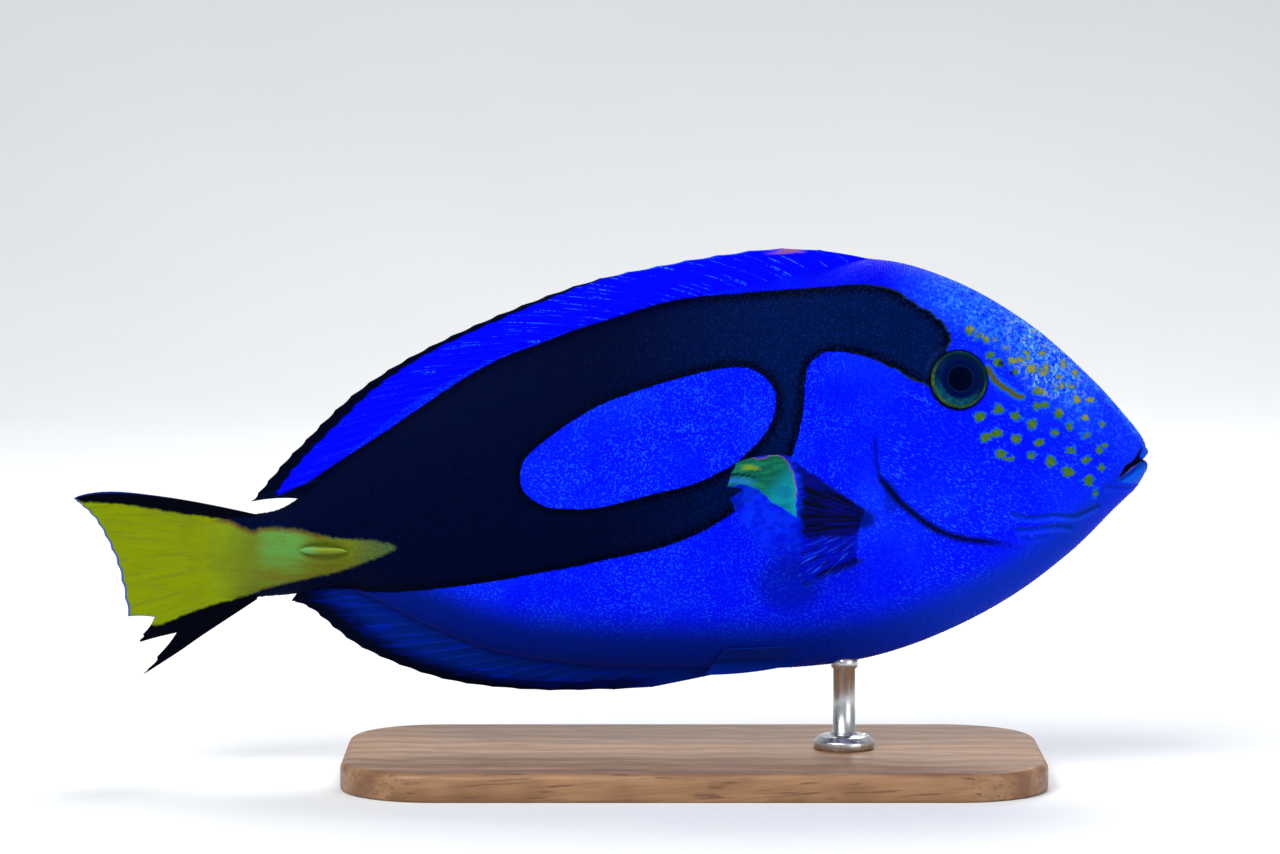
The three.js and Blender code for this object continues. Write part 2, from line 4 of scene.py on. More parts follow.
import bmesh
import bpy
import numpy as np
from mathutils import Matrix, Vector

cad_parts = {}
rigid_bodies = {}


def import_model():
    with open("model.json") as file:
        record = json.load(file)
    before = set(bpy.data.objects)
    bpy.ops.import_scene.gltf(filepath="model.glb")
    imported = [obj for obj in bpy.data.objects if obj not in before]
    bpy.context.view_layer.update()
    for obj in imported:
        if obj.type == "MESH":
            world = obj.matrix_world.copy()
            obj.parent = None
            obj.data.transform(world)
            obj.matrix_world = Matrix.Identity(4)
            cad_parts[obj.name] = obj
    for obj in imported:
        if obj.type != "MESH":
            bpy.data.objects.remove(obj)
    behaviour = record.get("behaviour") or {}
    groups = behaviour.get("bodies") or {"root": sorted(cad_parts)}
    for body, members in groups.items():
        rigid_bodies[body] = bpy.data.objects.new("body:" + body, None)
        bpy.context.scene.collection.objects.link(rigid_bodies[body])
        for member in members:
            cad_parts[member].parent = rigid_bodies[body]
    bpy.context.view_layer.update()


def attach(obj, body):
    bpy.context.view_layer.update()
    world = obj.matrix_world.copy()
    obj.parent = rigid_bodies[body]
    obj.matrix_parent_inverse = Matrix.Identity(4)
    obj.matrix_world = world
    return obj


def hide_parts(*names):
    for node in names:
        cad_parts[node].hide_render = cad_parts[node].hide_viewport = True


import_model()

mm = 0.001
fish = {
    "swimHeight": 64.0,   # of the body's axis above the floor
    "tailSwing": 9.0,     # how far the tail fin's tips bend to the fish's left
    "swingFrom": 12.0,
    "tailTipX": -115.8,
}
view = {
    "distance": 1100.0,
    "sensor": 36.0,
    "elevation": 5.0,
    "frameWidth": 273.86,  # width of the picture at the fish
    "aimX": 6.53,
    "aimZ": 11.34,         # above the body's axis
}


# small helpers

def smoothStep(low, high, value):
    f = np.clip((value - low) / (high - low), 0, 1)
    return f * f * (3 - 2 * f)


def bump(value, centre, width):
    return np.exp(-(((value - centre) / width) ** 2))


def along(rows, s):
    # rows of numbers read between stations as a smooth curve
    rows = np.asarray(rows, float)
    last = len(rows) - 1
    s = np.asarray(s, float)
    i = np.clip(np.floor(s).astype(int), 0, last - 1)
    f = (s - i)[..., None]
    a, b, c, d = (rows[np.clip(i + n, 0, last)] for n in (-1, 0, 1, 2))
    return b + 0.5 * f * (c - a + f * (2 * a - 5 * b + 4 * c - d + f * (3 * (b - c) + d - a)))


def lengthAlong(line):
    # travel from the first point of a line to each of its points
    return np.concatenate([[0], np.cumsum(np.linalg.norm(np.diff(line, axis=0), axis=1))])


def evenly(points, share):
    # a point at each share of the length of the smooth curve through points
    fine = along(points, np.linspace(0, len(points) - 1, 60 * len(points)))
    length = lengthAlong(fine)
    where = np.asarray(share) * length[-1]
    return np.stack([np.interp(where, length, fine[:, k]) for k in range(fine.shape[1])], -1)


def drawn(points, count=30):
    # so many even points on the smooth curve through points
    return evenly(points, np.linspace(0, 1, count))


def closedCurve(points, cuts=4):
    n = len(points)
    looped = np.array([points[(i - 1) % n] for i in range(n + 3)], float)
    return along(looped, 1 + np.arange(n * cuts) / cuts)


def ringAngles(around):
    return 2 * np.pi * np.arange(around) / around


batch = 20000  # points measured at a time


def distanceTo(points, line):
    # shortest way from each point to a line of points in the side view
    a, b = np.asarray(line, float)[:-1], np.asarray(line, float)[1:]
    span = b - a
    out = np.empty(len(points))
    for start in range(0, len(points), batch):
        off = points[start:start + batch, None, :] - a
        f = np.clip((off * span).sum(-1) / np.maximum((span * span).sum(-1), 1e-9), 0, 1)
        out[start:start + batch] = np.linalg.norm(off - span * f[..., None], axis=-1).min(1)
    return out


def insideBy(points, outline):
    # distance to a closed outline, positive inside it
    ring = np.vstack([outline, outline[:1]])
    a, b = ring[:-1], ring[1:]
    rise = np.where(np.abs(b[:, 1] - a[:, 1]) < 1e-9, 1e-9, b[:, 1] - a[:, 1])
    inside = np.empty(len(points), bool)
    for start in range(0, len(points), batch):
        p = points[start:start + batch]
        x, z = p[:, :1], p[:, 1:]
        spans = (a[:, 1] > z) != (b[:, 1] > z)
        left = x < a[:, 0] + (b[:, 0] - a[:, 0]) * (z - a[:, 1]) / rise
        inside[start:start + batch] = (spans & left).sum(1) % 2 == 1
    return np.where(inside, 1, -1) * distanceTo(points, ring)


def swing(x):
    share = np.maximum(fish["swingFrom"] - x, 0) / (fish["swingFrom"] - fish["tailTipX"])
    return fish["tailSwing"] * share ** 2


def asSeen(points):
    # where a point of either flank falls in the side view from the camera
    tilt = math.radians(view["elevation"])
    x, y, z = points[:, 0], -np.abs(points[:, 1]) + swing(points[:, 0]), points[:, 2] - view["aimZ"]
    depth = y * math.cos(tilt) - z * math.sin(tilt)
    share = view["distance"] / (view["distance"] + depth)
    up = z * math.cos(tilt) + y * math.sin(tilt)
    return np.stack([view["aimX"] + (x - view["aimX"]) * share, view["aimZ"] + up * share], -1)


# the body's form, on the same stations as its solids

body = {
    # x and z of the back, x and z of the belly, half the width, from tail to snout
    "stations": [
        [-83, -8.2, -82, -26.2, 1.5], [-70, -6.3, -70, -25.2, 3.9], [-57, 4.6, -56, -24, 6.0],
        [-43, 16.0, -40, -31.2, 8.8], [-27, 24.8, -24, -37.3, 11.6], [-7, 32.4, -4, -40.0, 14.0],
        [18, 39.0, 19, -40.7, 15.7], [41, 44.2, 41, -40.3, 16.2], [57, 47.2, 57, -37.9, 15.9],
        [74, 42.5, 72, -32.6, 14.4], [90, 33.2, 86.5, -24.8, 11.8], [103, 21.8, 99, -15.2, 8.8],
        [110.8, 13.2, 107.6, -6.6, 6.2], [114.0, 9.0, 112.8, -1.4, 4.4], [114.7, 6.9, 114.3, 1.6, 2.2],
    ],
    "flankCurve": 2.2,
    "bodyKeel": 0.62,
    "headKeel": 0.5,
    "headFrom": 8,
    "columns": 288,
    # ring spacing from the tail, behind the gills, on the head and at the mouth
    "spacing": [[-84, 1.1], [46, 1.1], [52, 0.5], [102, 0.5], [106, 0.27], [116, 0.22]],
    "noseRings": 13,
}
snout = len(body["stations"]) - 1
gillLine = [
    [53.8, 47], [53.8, 41], [53.7, 31], [54.6, 20.2], [56.8, 10.0], [57.1, 6.4], [57.3, 3.2],
    [57.9, 0.9], [59.2, -0.9], [62.2, -4.6], [64.7, -6.7], [67.3, -8.8], [69.9, -10.4],
    [72.9, -11.7], [76.1, -12.5], [79.3, -12.9], [83.5, -13.4], [88, -14.6],
]
coverLine = [[58, 20], [63, 15], [66, 7], [69.4, 0], [75.4, -6.4], [83, -10.6]]
mouth = {
    "corner": [108.7, 0.2], "front": [114.1, 4.1],
    "slit": 0.42, "slitDepth": 1.7, "upperLip": 0.25, "lowerLip": 0.3,
    # the open mouth, painted as shade
    "gape": [[108.9, 0.1], [109.4, 1.5], [110.3, 3.1], [111.6, 3.9], [112.6, 5.0], [113.4, 6.6],
             [114.2, 7.1],
             [113.7, 5.8], [113.5, 4.6], [115.5, 4.6], [115.5, 3.9], [113.8, 3.75], [112.9, 3.3],
             [111.6, 2.7],
             [110.5, 1.5]],
    "lower": [[108.8, -0.1], [110.4, 1.4], [111.5, 2.5], [112.8, 3.2], [115.6, 3.9], [115.8, 0.4],
              [113.6, -0.6],
              [110.6, -0.7]],
    "upper": [[113.6, 4.6], [114.0, 6.2], [114.6, 7.6], [116.0, 7.6], [116.0, 4.6]],
    "red": [[109.1, 0.0], [110.4, 1.3], [111.5, 2.45], [112.8, 3.15]],
}
eye = {"x": 73.8, "z": 22.4, "radius": 6.3, "bulge": 2.0, "depth": 3.4, "around": 72}
nostrils = [[85.2, 23.6, 0.5], [83.0, 25.6, 0.65]]
scalpel = {"x": -61.2, "z": -15.2, "length": 10.4, "height": 2.1, "proud": 0.8}
# creases in the side view: line, width, depth, and strength of the painted shade in them
creases = [
    ([[86.1, -7.1], [87.8, -7.7], [91, -7.9], [95.3, -7.4], [99, -7.7], [101.1, -7.1], [104.4, -5.5]],
     0.38, 0.20, 0.8),
    ([[87, -10.5], [91, -10.3], [95.3, -9.8], [98.5, -10.1]], 0.38, 0.16, 0.7),
    ([[87.4, -11.8], [88.7, -12.4], [91, -12.5], [93.4, -12.0]], 0.28, 0.12, 0.35),
    ([[106.2, -1.35], [108.2, -1.6], [110.5, -1.5], [112.4, -1.6]], 0.2, 0.12, 0.55),
    ([[53.8, -17.4], [50.5, -18.6], [47.2, -19.8], [44.4, -21.2], [41.8, -22.4]], 0.42, 0.5, 0.9),
]
# how far these stand out of the skin or sink into it
heights = {
    "gillCover": 0.95, "gillLine": 0.5, "coverEdge": 0.12, "socketRim": 0.15, "socket": 4.2,
    "nostril": 0.9, "grooveRim": 0.15, "groove": 0.4,
}
pectoralRoot = {"x": 56.5, "z": -10.5, "length": 7.5, "height": 6.5, "out": 1.1}


def halfWidth(s, t, width):
    keel = body["bodyKeel"] + (body["headKeel"] - body["bodyKeel"]) * smoothStep(
        body["headFrom"], body["headFrom"] + 3, s)
    return width * np.maximum(1 - np.abs(t) ** body["flankCurve"], 0) ** keel


def crossAt(s):
    # x and z of the back, x and z of the belly, and half the width
    return np.moveaxis(along(body["stations"], s), -1, 0)


def bodyPoint(s, angle):
    # angle 0 is the back, a quarter turn the fish's right flank
    backX, backZ, bellyX, bellyZ, width = crossAt(s)
    t = np.cos(angle)
    y = -np.sign(np.sin(angle)) * halfWidth(s, t, width)
    y = np.where(np.abs(np.sin(angle)) < 1e-9, 0, y)
    f = (t + 1) / 2
    return np.stack([bellyX + (backX - bellyX) * f, y, bellyZ + (backZ - bellyZ) * f], -1)


def ringThrough(x, z):
    # station and angle of the right flank's point at x and z
    x, z = np.broadcast_arrays(np.asarray(x, float), np.asarray(z, float))
    low, high = np.zeros(x.shape), np.full(x.shape, float(snout))
    for _ in range(36):
        s = (low + high) / 2
        backX, backZ, bellyX, bellyZ, _w = crossAt(s)
        ahead = (x - bellyX) * (backZ - bellyZ) - (z - bellyZ) * (backX - bellyX) > 0
        low, high = np.where(ahead, s, low), np.where(ahead, high, s)
    backX, backZ, bellyX, bellyZ, width = crossAt(low)
    span = (backX - bellyX) ** 2 + (backZ - bellyZ) ** 2
    share = ((x - bellyX) * (backX - bellyX) + (z - bellyZ) * (backZ - bellyZ)) / span
    return low, 2 * share - 1, width


def flank(x, z):
    s, t, width = ringThrough(x, z)
    return halfWidth(s, t, width)


def edgeHeight(x, column):
    rows = along(body["stations"], np.linspace(0, snout, 1500))
    return np.interp(x, rows[:, column], rows[:, column + 1])


def aheadOfGills(side):
    # signed distance ahead of the gill line
    ring = np.vstack([drawn(gillLine, 90), [[130, -40], [130, 60]]])
    return insideBy(side, ring)


def mouthFrame(side):
    # share of the way from the mouth's corner to its front, and height over the slit
    corner, front = np.array(mouth["corner"]), np.array(mouth["front"])
    ahead = front - corner
    length = np.linalg.norm(ahead)
    ahead = ahead / length
    off = side - corner
    return off @ ahead / length, off @ np.array([-ahead[1], ahead[0]])


def fromBlade(x, z):
    # distance from the middle of the blade's long groove
    return np.hypot(x - scalpel["x"], (z - scalpel["z"]) * 2.6)


def relief(points):
    # how far the skin stands over the plain form: gill covers, lips, folds, sockets
    side = points[:, [0, 2]]
    x, z = side[:, 0], side[:, 1]
    out = np.zeros(len(points))
    seen = asSeen(points)
    gill = aheadOfGills(seen)
    lower = 1 - smoothStep(8, 17, z)
    keel = smoothStep(1.0, 5.0, np.abs(points[:, 1])) * (1 - smoothStep(80, 90, x))
    swell = smoothStep(-0.1, 0.8, gill) * (1 - smoothStep(3, 17, gill))
    out += lower * keel * heights["gillCover"] * swell
    out -= lower * keel * heights["gillLine"] * bump(gill, -0.55, 0.6)
    cover = distanceTo(side, drawn(coverLine, 60))
    out -= heights["coverEdge"] * bump(cover, 0, 0.9)
    for fold, wide, deep, _shadeStrength in creases:
        crease = distanceTo(seen, drawn(fold))
        out += deep * (0.6 * bump(crease, 2.6 * wide, 1.8 * wide) - 1.1 * bump(crease, 0, 1.2 * wide))
    root = pectoralRoot
    apart = np.hypot((x - root["x"]) / root["length"], (z - root["z"]) / root["height"])
    out += root["out"] * bump(apart, 0, 1)
    reach, over = mouthFrame(side)
    grown = smoothStep(-0.05, 0.5, reach)
    wide = np.clip(reach, 0, 1)
    out += grown * mouth["upperLip"] * bump(over, 1.0, 0.85)
    out += grown * mouth["lowerLip"] * bump(over, -0.55 - 1.45 * wide, 0.45 + 1.35 * wide)
    slit = smoothStep(-0.04, 0.12, reach)
    out -= mouth["slitDepth"] * slit * bump(over, 0, mouth["slit"] * (0.75 + 0.5 * wide))
    socket = np.hypot(x - eye["x"], z - eye["z"])
    out += heights["socketRim"] * bump(socket, 8.2, 1.7)
    out -= heights["socket"] * (1 - smoothStep(5.1, 6.1, socket))
    for nx, nz, size in nostrils:
        hole = np.hypot(x - nx, z - nz)
        out -= heights["nostril"] * (1 - smoothStep(0.35 * size, size, hole))
    blade = fromBlade(x, z)
    out += heights["grooveRim"] * bump(blade, 6.6, 1.6)
    out -= heights["groove"] * (1 - smoothStep(3.6, 5.8, blade))
    return out


def normalsOf(grid):
    # outward normals of a grid of rings that wraps round
    aheadway = np.gradient(grid, axis=0)
    around = (np.roll(grid, -1, 1) - np.roll(grid, 1, 1)) / 2
    normal = np.cross(around, aheadway)
    return normal / np.maximum(np.linalg.norm(normal, axis=-1, keepdims=True), 1e-9)


# the markings, as distances that the materials turn into edges

markings = {
    "stripe": [
        [72.4, 27.8], [73.1, 30.4], [70.7, 34.2], [67.5, 36.8], [63.2, 39.4], [59, 41.3],
        [53.6, 41.9], [47.2, 41.5], [36.5, 40.7], [27.9, 40.0], [13.6, 38.5], [-0.5, 34.3],
        [-7.6, 32.1], [-14.9, 29.3], [-23.4, 26.1], [-31.8, 21.4], [-40.5, 15.6], [-48.2, 10.3],
        [-56.6, 4.9], [-62.4, 1.0], [-66, -1.9], [-70, -5.0], [-76, -6.2], [-86, -5.0],
        [-93, -16], [-86, -31], [-70, -29.5], [-58, -23.6], [-51.6, -24], [-44.4, -24],
        [-34.1, -23], [-23.4, -21.5], [-14.9, -19.9], [-8.5, -18.8], [2.2, -16.5],
        [10.8, -14.6], [19.4, -11.3], [25.8, -7.5], [32, -3], [37.6, 2.2], [40, 8],
        [41.5, 14.5], [42, 21.4], [42.8, 24.6], [44.6, 26.3], [47.2, 27.4], [53.6, 26.7],
        [60, 24.2], [65.4, 21.2], [70, 20.3], [73, 24],
    ],
    "oval": [
        [-19.1, 1.1], [-18.1, 4.3], [-14.9, 7.5], [-8.5, 12.2], [-2, 16], [4.4, 18.4],
        [10.8, 20.5], [17.2, 22.3], [23.6, 23.7], [29, 24], [32.6, 22.5], [35, 19.7],
        [35.6, 17.1], [34.8, 12.8], [32.2, 8.6], [26.9, 3.6], [23.6, 1.7], [17.2, -1.1],
        [10.8, -2.6], [4.4, -4.3], [-2, -5.8], [-8.5, -6.2], [-13.8, -5.6], [-17.2, -3.6],
        [-18.7, -1.5],
    ],
    "wedge": [
        [-46, -14.1], [-51.2, -12.9], [-59.4, -12.4], [-66, -10.7], [-73.7, -10.1],
        [-76.3, -10.9], [-79.1, -9.8], [-81.6, -8.6], [-91.5, -7.3], [-104.5, -5.2],
        [-113.1, -4.7], [-122, -3], [-126, -29.6], [-104, -29.7], [-98.4, -31.2], [-95.4, -30.8],
        [-91.5, -29.1], [-84.8, -26.7], [-78.2, -24.8], [-73.9, -23.3], [-68.1, -21.8], [-59.4, -19.9],
        [-53, -17.8], [-47, -15.4],
    ],
    "goldGroove": [[81, 23.9], [82, 22.1], [83.5, 20.4], [85.7, 19.1], [87, 18.1], [88.2, 17.8]],
    # x, z and reach of places with hardly any specks
    "quiet": [[56, 46, 12], [44, 46, 12], [32, 43, 9], [46, 36, 8], [78, 15.5, 7], [90, 9, 5], [49, 18, 6]],
    # x, z, reach along and across, and strength of patches of painted shade: the pectoral fin's shadow on
    # the flank and the shade about its root
    "shades": [[60.3, -3.9, 2.2, 4.6, 0.6], [38.5, -22.5, 9, 7.5, 0.55], [44, -18.5, 5, 3, 0.5],
               [54.4, -8.3, 3.2, 2.7, 1.0]],
    # x, z and radius of the spots on the cheek and snout
    "spots": [
        [82.3, 30.2, 0.65], [84.3, 25.1, 0.6], [86.8, 23.3, 0.65], [92.9, 22.9, 0.7],
        [95.3, 19.4, 0.65], [78.7, 30.9, 0.8], [84.8, 28.4, 0.5], [89.6, 26.0, 0.5],
        [77.4, 32.2, 1.0], [80.6, 30.3, 0.8], [81.4, 26.9, 0.75], [83.0, 24.9, 0.8],
        [86.0, 25.5, 1.0], [87.9, 25.8, 0.7], [89.2, 27.2, 0.8], [90.2, 23.8, 1.1],
        [93.1, 24.1, 0.95], [92.3, 27.2, 0.75], [96.8, 24.3, 0.8], [99.4, 22.9, 0.75],
        [95.9, 21.8, 0.6], [96.6, 20.3, 0.75], [98.9, 20.0, 0.7], [91.6, 18.9, 0.85],
        [99.9, 17.5, 0.85], [102.9, 17.2, 0.7], [93.2, 16.0, 0.7], [91.6, 15.7, 0.6],
        [96.1, 14.2, 0.85], [101.7, 13.3, 0.65], [83.1, 15.2, 0.95], [86.7, 13.6, 1.1],
        [90.3, 11.9, 0.95], [98.5, 11.6, 0.75], [105.2, 11.7, 0.6], [79.3, 13.5, 1.1],
        [82.9, 9.8, 0.95], [80.3, 8.9, 0.95], [87.0, 8.9, 1.1], [95.2, 10.2, 0.7],
        [101.6, 9.4, 0.8], [91.8, 8.2, 0.95], [98.6, 6.3, 0.9], [104.8, 6.4, 0.75],
        [106.2, 7.4, 0.5], [83.7, 5.7, 0.9], [90.5, 5.3, 0.95], [85.5, 4.3, 0.7],
        [94.4, 4.0, 1.1], [101.8, 4.3, 0.8], [105.2, 2.5, 0.75], [98.2, 1.8, 1.0],
        [102.6, -0.2, 1.1], [104.1, -3.0, 0.6],
    ],
}


def gillShadow(points):
    # painted shade in the slit behind the gill cover, thin above and broad at the throat
    seen = asSeen(points)
    ahead = aheadOfGills(seen)
    low = 1 - smoothStep(-0.6, 1.6, seen[:, 1])
    swell = np.sin(0.7 * points[:, 0] + 1.2) * np.sin(0.43 * points[:, 0])
    wide = 0.34 + (0.46 + 0.12 * swell) * low
    fade = (0.8 + 0.2 * low) * (1 - smoothStep(8, 10.5, seen[:, 1]))
    throat = smoothStep(2.5, 6, np.abs(points[:, 1])) * (1 - smoothStep(78, 87, points[:, 0]))
    return np.exp(-np.abs((ahead + 0.15) / wide) ** 3) * fade * throat


def marksAt(points):
    # every marking's value at points of the unbent fish
    seen = asSeen(points)
    x, seenX = points[:, 0], seen[:, 0]

    def within(outline, cuts=4):
        return insideBy(seen, closedCurve(outline, cuts))

    spots = np.array(markings["spots"])
    gaps = np.full(len(points), -9.0)
    nearHead = seenX > 70
    if nearHead.any():
        near = seen[nearHead]
        reach = spots[:, 2] - np.hypot(near[:, :1] - spots[:, 0], near[:, 1:] - spots[:, 1])
        gaps[nearHead] = reach.max(1)
    creaseShade, sheen, quiet, shade = np.zeros((4, len(points)))
    # painted shade along each crease and, on the head, a painted highlight just below it
    for line, wide, _deep, dark in creases:
        creaseShade = np.maximum(creaseShade, dark * bump(distanceTo(seen, drawn(line)), 0, wide))
        beside = distanceTo(seen + [0, 0.95], drawn(line))
        sheen = np.maximum(sheen, dark * bump(beside, 0, 0.8 * wide) * (seenX > 80))
    for qx, qz, size in markings["quiet"]:
        quiet = np.maximum(quiet, bump(np.hypot(seenX - qx, seen[:, 1] - qz), 0, size))
    for sx, sz, wide, high, deep in markings["shades"]:
        off = np.hypot((seenX - sx) / wide, (seen[:, 1] - sz) / high)
        shade = np.maximum(shade, deep * (1 - smoothStep(0.45, 1.1, off)))
    top = edgeHeight(x, 0) - points[:, 2]
    low = points[:, 2] - edgeHeight(x, 2)
    brow = (1 - smoothStep(5, 11 + 6 * smoothStep(78, 92, x), top)) * smoothStep(57, 80, x)
    brow = brow * (1 - 0.8 * smoothStep(97, 106, x) * smoothStep(0.8, 2.2, top))
    return {
        "stripe": np.minimum(within(markings["stripe"]), -within(markings["oval"])),
        "wedge": within(markings["wedge"]),
        "spots": gaps,
        "gold": 0.5 - distanceTo(seen, drawn(markings["goldGroove"], 16)),
        "brow": brow,
        # painted shade on the underside
        "belly": (1 - smoothStep(5.5, 14.5, low)) * (1 - 0.35 * smoothStep(98, 110, x)),
        "keel": bump(low, 0.6, 0.4) * smoothStep(-62, -50, x) * (1 - smoothStep(4, 18, x)),
        "quiet": quiet,
        "creaseShade": creaseShade,
        "sheen": sheen,
        "gill": gillShadow(points),
        "shade": shade,
        "lips": smoothStep(-0.1, 0.25, within(mouth["lower"], 2))
        + 0.6 * smoothStep(-0.2, 0.4, within(mouth["upper"], 2)),
        "gape": within(mouth["gape"], 2),
        "lipEdge": bump(distanceTo(seen, mouth["red"]), 0, 0.13),
    }


# meshes

def toFrame(points):
    # bends the tail, lifts the fish over its base and turns millimetres to metres
    placed = np.array(points, float)
    placed[:, 1] += swing(placed[:, 0])
    placed[:, 2] += fish["swimHeight"]
    return placed * mm


def gridFaces(index):
    # four-sided faces over a grid of vertex numbers
    corners = [index[:-1, :-1], index[:-1, 1:], index[1:, 1:], index[1:, :-1]]
    return np.stack(corners, -1).reshape(-1, 4).tolist()


def ringFaces(rings, around, closed=False):
    # faces between rings of vertices, back to the first ring if closed
    index = np.arange(rings * around).reshape(rings, around)
    index = np.hstack([index, index[:, :1]])
    return gridFaces(np.vstack([index, index[:1]]) if closed else index)


def latheFaces(rings, around):
    # faces between rings, with the first and the last ring capped
    last = (rings - 1) * around
    return ringFaces(rings, around) + [list(range(around))[::-1], list(range(last, last + around))]


def meshFrom(name, points, faces):
    mesh = bpy.data.meshes.new(name)
    mesh.from_pydata([tuple(p) for p in points], [], faces)
    mesh.polygons.foreach_set("use_smooth", [True] * len(mesh.polygons))
    mesh.update()
    return mesh


def pathMesh(name, points, edges=()):
    mesh = bpy.data.meshes.new(name)
    mesh.from_pydata([tuple(p) for p in points], list(edges), [])
    return mesh


def coordsOf(mesh):
    co = np.empty(len(mesh.vertices) * 3)
    mesh.vertices.foreach_get("co", co)
    return co.reshape(-1, 3)


def setCoords(mesh, points):
    mesh.vertices.foreach_set("co", np.asarray(points, np.float32).ravel())
    mesh.update()


def addField(mesh, name, values):
    values = np.asarray(values, np.float32)
    kind = "FLOAT" if values.ndim == 1 else "FLOAT_VECTOR"
    field = mesh.attributes.get(name) or mesh.attributes.new(name, kind, "POINT")
    field.data.foreach_set("value" if kind == "FLOAT" else "vector", values.ravel())


def addMarks(mesh, points=None, names=None):
    # the markings as fields of a mesh, all of them or the named ones
    marks = marksAt(coordsOf(mesh) if points is None else points)
    for name in names or marks:
        addField(mesh, name, marks[name])


def linked(name, data):
    # a new object in the scene
    obj = bpy.data.objects.new(name, data)
    bpy.context.scene.collection.objects.link(obj)
    return obj


def addPiece(name, mesh, replaced=(), materials=()):
    obj = linked(name, mesh)
    for material in materials:
        mesh.materials.append(material)
    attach(obj, "root")
    if replaced:
        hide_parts(*replaced)
    return obj


def placeFish(name, mesh, replaced=(), materials=()):
    setCoords(mesh, toFrame(coordsOf(mesh)))
    return addPiece(name, mesh, replaced, materials)


def mirroredMesh(mesh, name):
    # the same mesh on the fish's other side, and on the other half of its UV map
    twin = mesh.copy()
    twin.name = name
    setCoords(twin, coordsOf(twin) * [1, -1, 1])
    twin.flip_normals()
    for layer in twin.uv_layers:
        flat = np.empty(len(layer.data) * 2, np.float32)
        layer.data.foreach_get("uv", flat)
        flat[1::2] = 1 - flat[1::2]
        layer.data.foreach_set("uv", flat)
    return twin


def placePair(name, mesh, node="", materials=()):
    # a piece of the right side and its mirror image on the left
    twin = mirroredMesh(mesh, name + "Left")
    for side, piece in (("Right", mesh), ("Left", twin)):
        replaced = (node + "_" + side.lower(),) if node else ()
        placeFish(name + side, piece, replaced, materials)


# material building

class Wire:
    # an output socket of a node tree, with plain arithmetic
    def __init__(self, maker, socket):
        self.maker = maker
        self.socket = socket

    def __add__(self, other):
        return self.maker.math("ADD", self, other)

    def __sub__(self, other):
        return self.maker.math("SUBTRACT", self, other)

    def __rsub__(self, other):
        return self.maker.math("SUBTRACT", other, self)

    def __mul__(self, other):
        return self.maker.math("MULTIPLY", self, other)

    def __truediv__(self, other):
        return self.maker.math("DIVIDE", self, other)


class Maker:
    # makes the nodes of one tree
    def __init__(self, tree):
        self.tree = tree

    def plug(self, socket, value):
        if isinstance(value, Wire):
            self.tree.links.new(value.socket, socket)
        elif socket.type == "RGBA":
            socket.default_value = (*value, 1)
        else:
            socket.default_value = value

    def node(self, kind, values=(), out=0, **settings):
        # one output of a new node with these settings and inputs
        made = self.tree.nodes.new(kind)
        for key, value in settings.items():
            setattr(made, key, value)
        for key, value in dict(values).items():
            self.plug(made.inputs[key], value)
        return Wire(self, made.outputs[out])

    def math(self, operation, a, b):
        return self.node("ShaderNodeMath", {0: a, 1: b}, operation=operation)


class Recipe(Maker):
    # a material, built by short calls
    def __init__(self, name):
        self.material = bpy.data.materials.new(name)
        self.material.use_nodes = True
        super().__init__(self.material.node_tree)
        self.shader = self.tree.nodes["Principled BSDF"]

    def field(self, name, out="Fac"):
        return self.node("ShaderNodeAttribute", out=out, attribute_name=name)

    def place(self):
        return self.node("ShaderNodeTexCoord", out="Object")

    def axes(self):
        # x and z of the place
        return [self.node("ShaderNodeSeparateXYZ", {0: self.place()}, axis) for axis in (0, 2)]

    def mapped(self, where=None, **values):
        return self.node("ShaderNodeMapping", {"Vector": where or self.place(), **values})

    def most(self, a, b):
        return self.math("MAXIMUM", a, b)

    def step(self, value, low, high, toLow=0.0, toHigh=1.0):
        values = dict(enumerate((value, low, high, toLow, toHigh)))
        return self.node("ShaderNodeMapRange", values, interpolation_type="SMOOTHSTEP")

    def mix(self, share, a, b):
        return self.node("ShaderNodeMix", {0: share, 6: a, 7: b}, 2, data_type="RGBA")

    def layers(self, paint, *coats):
        # coats of share and colour, each over the ones before
        for share, colour in coats:
            paint = self.mix(share, paint, colour)
        return paint

    def noise(self, scale, detail=2.0, rough=0.5, stretch=None, where=None):
        where = where or self.place()
        if stretch:
            where = self.mapped(where, Scale=stretch)
        values = {"Scale": scale, "Detail": detail, "Roughness": rough, "Vector": where}
        return self.node("ShaderNodeTexNoise", values, "Fac")

    def cells(self, scale):
        return self.node("ShaderNodeTexVoronoi", {"Scale": scale, "Vector": self.place()}, "Distance")

    def raised(self, height, strength=0.25, distance=0.0002):
        values = {"Height": height, "Strength": strength, "Distance": distance}
        self.plug(self.shader.inputs["Normal"], self.node("ShaderNodeBump", values))

    def finish(self, paint, rough=0.5, gloss=0.1, tint=(1, 1, 1), **more):
        values = {
            "Base Color": paint, "Roughness": rough, "Specular IOR Level": gloss, "Specular Tint": tint,
            **more,
        }
        for name, value in values.items():
            self.plug(self.shader.inputs[name], value)
        return self.material


colours = {
    "blue": (0.0, 0.0025, 0.88),
    "azure": (0.010, 0.10, 1.0),
    "brow": (0.008, 0.10, 0.88),
    "paleAzure": (0.06, 0.30, 1.0),
    "navy": (0.0, 0.0010, 0.013),
    "black": (0.0, 0.0003, 0.003),
    # painted shade of the underside
    "bellyShade": (0.0, 0.010, 0.17),
    "yellow": (0.175, 0.24, 0.0005),
    "tailGreen": (0.085, 0.26, 0.05),
    "olive": (0.10, 0.12, 0.006),
    "spotGreen": (0.03, 0.13, 0.010),
    "spotGold": (0.19, 0.21, 0.045),
    "gold": (0.068, 0.072, 0.005),
    "lip": (0.002, 0.09, 0.66),
    "teal": (0.004, 0.22, 0.20),
}
blueSheen = (0.10, 0.25, 1.0)


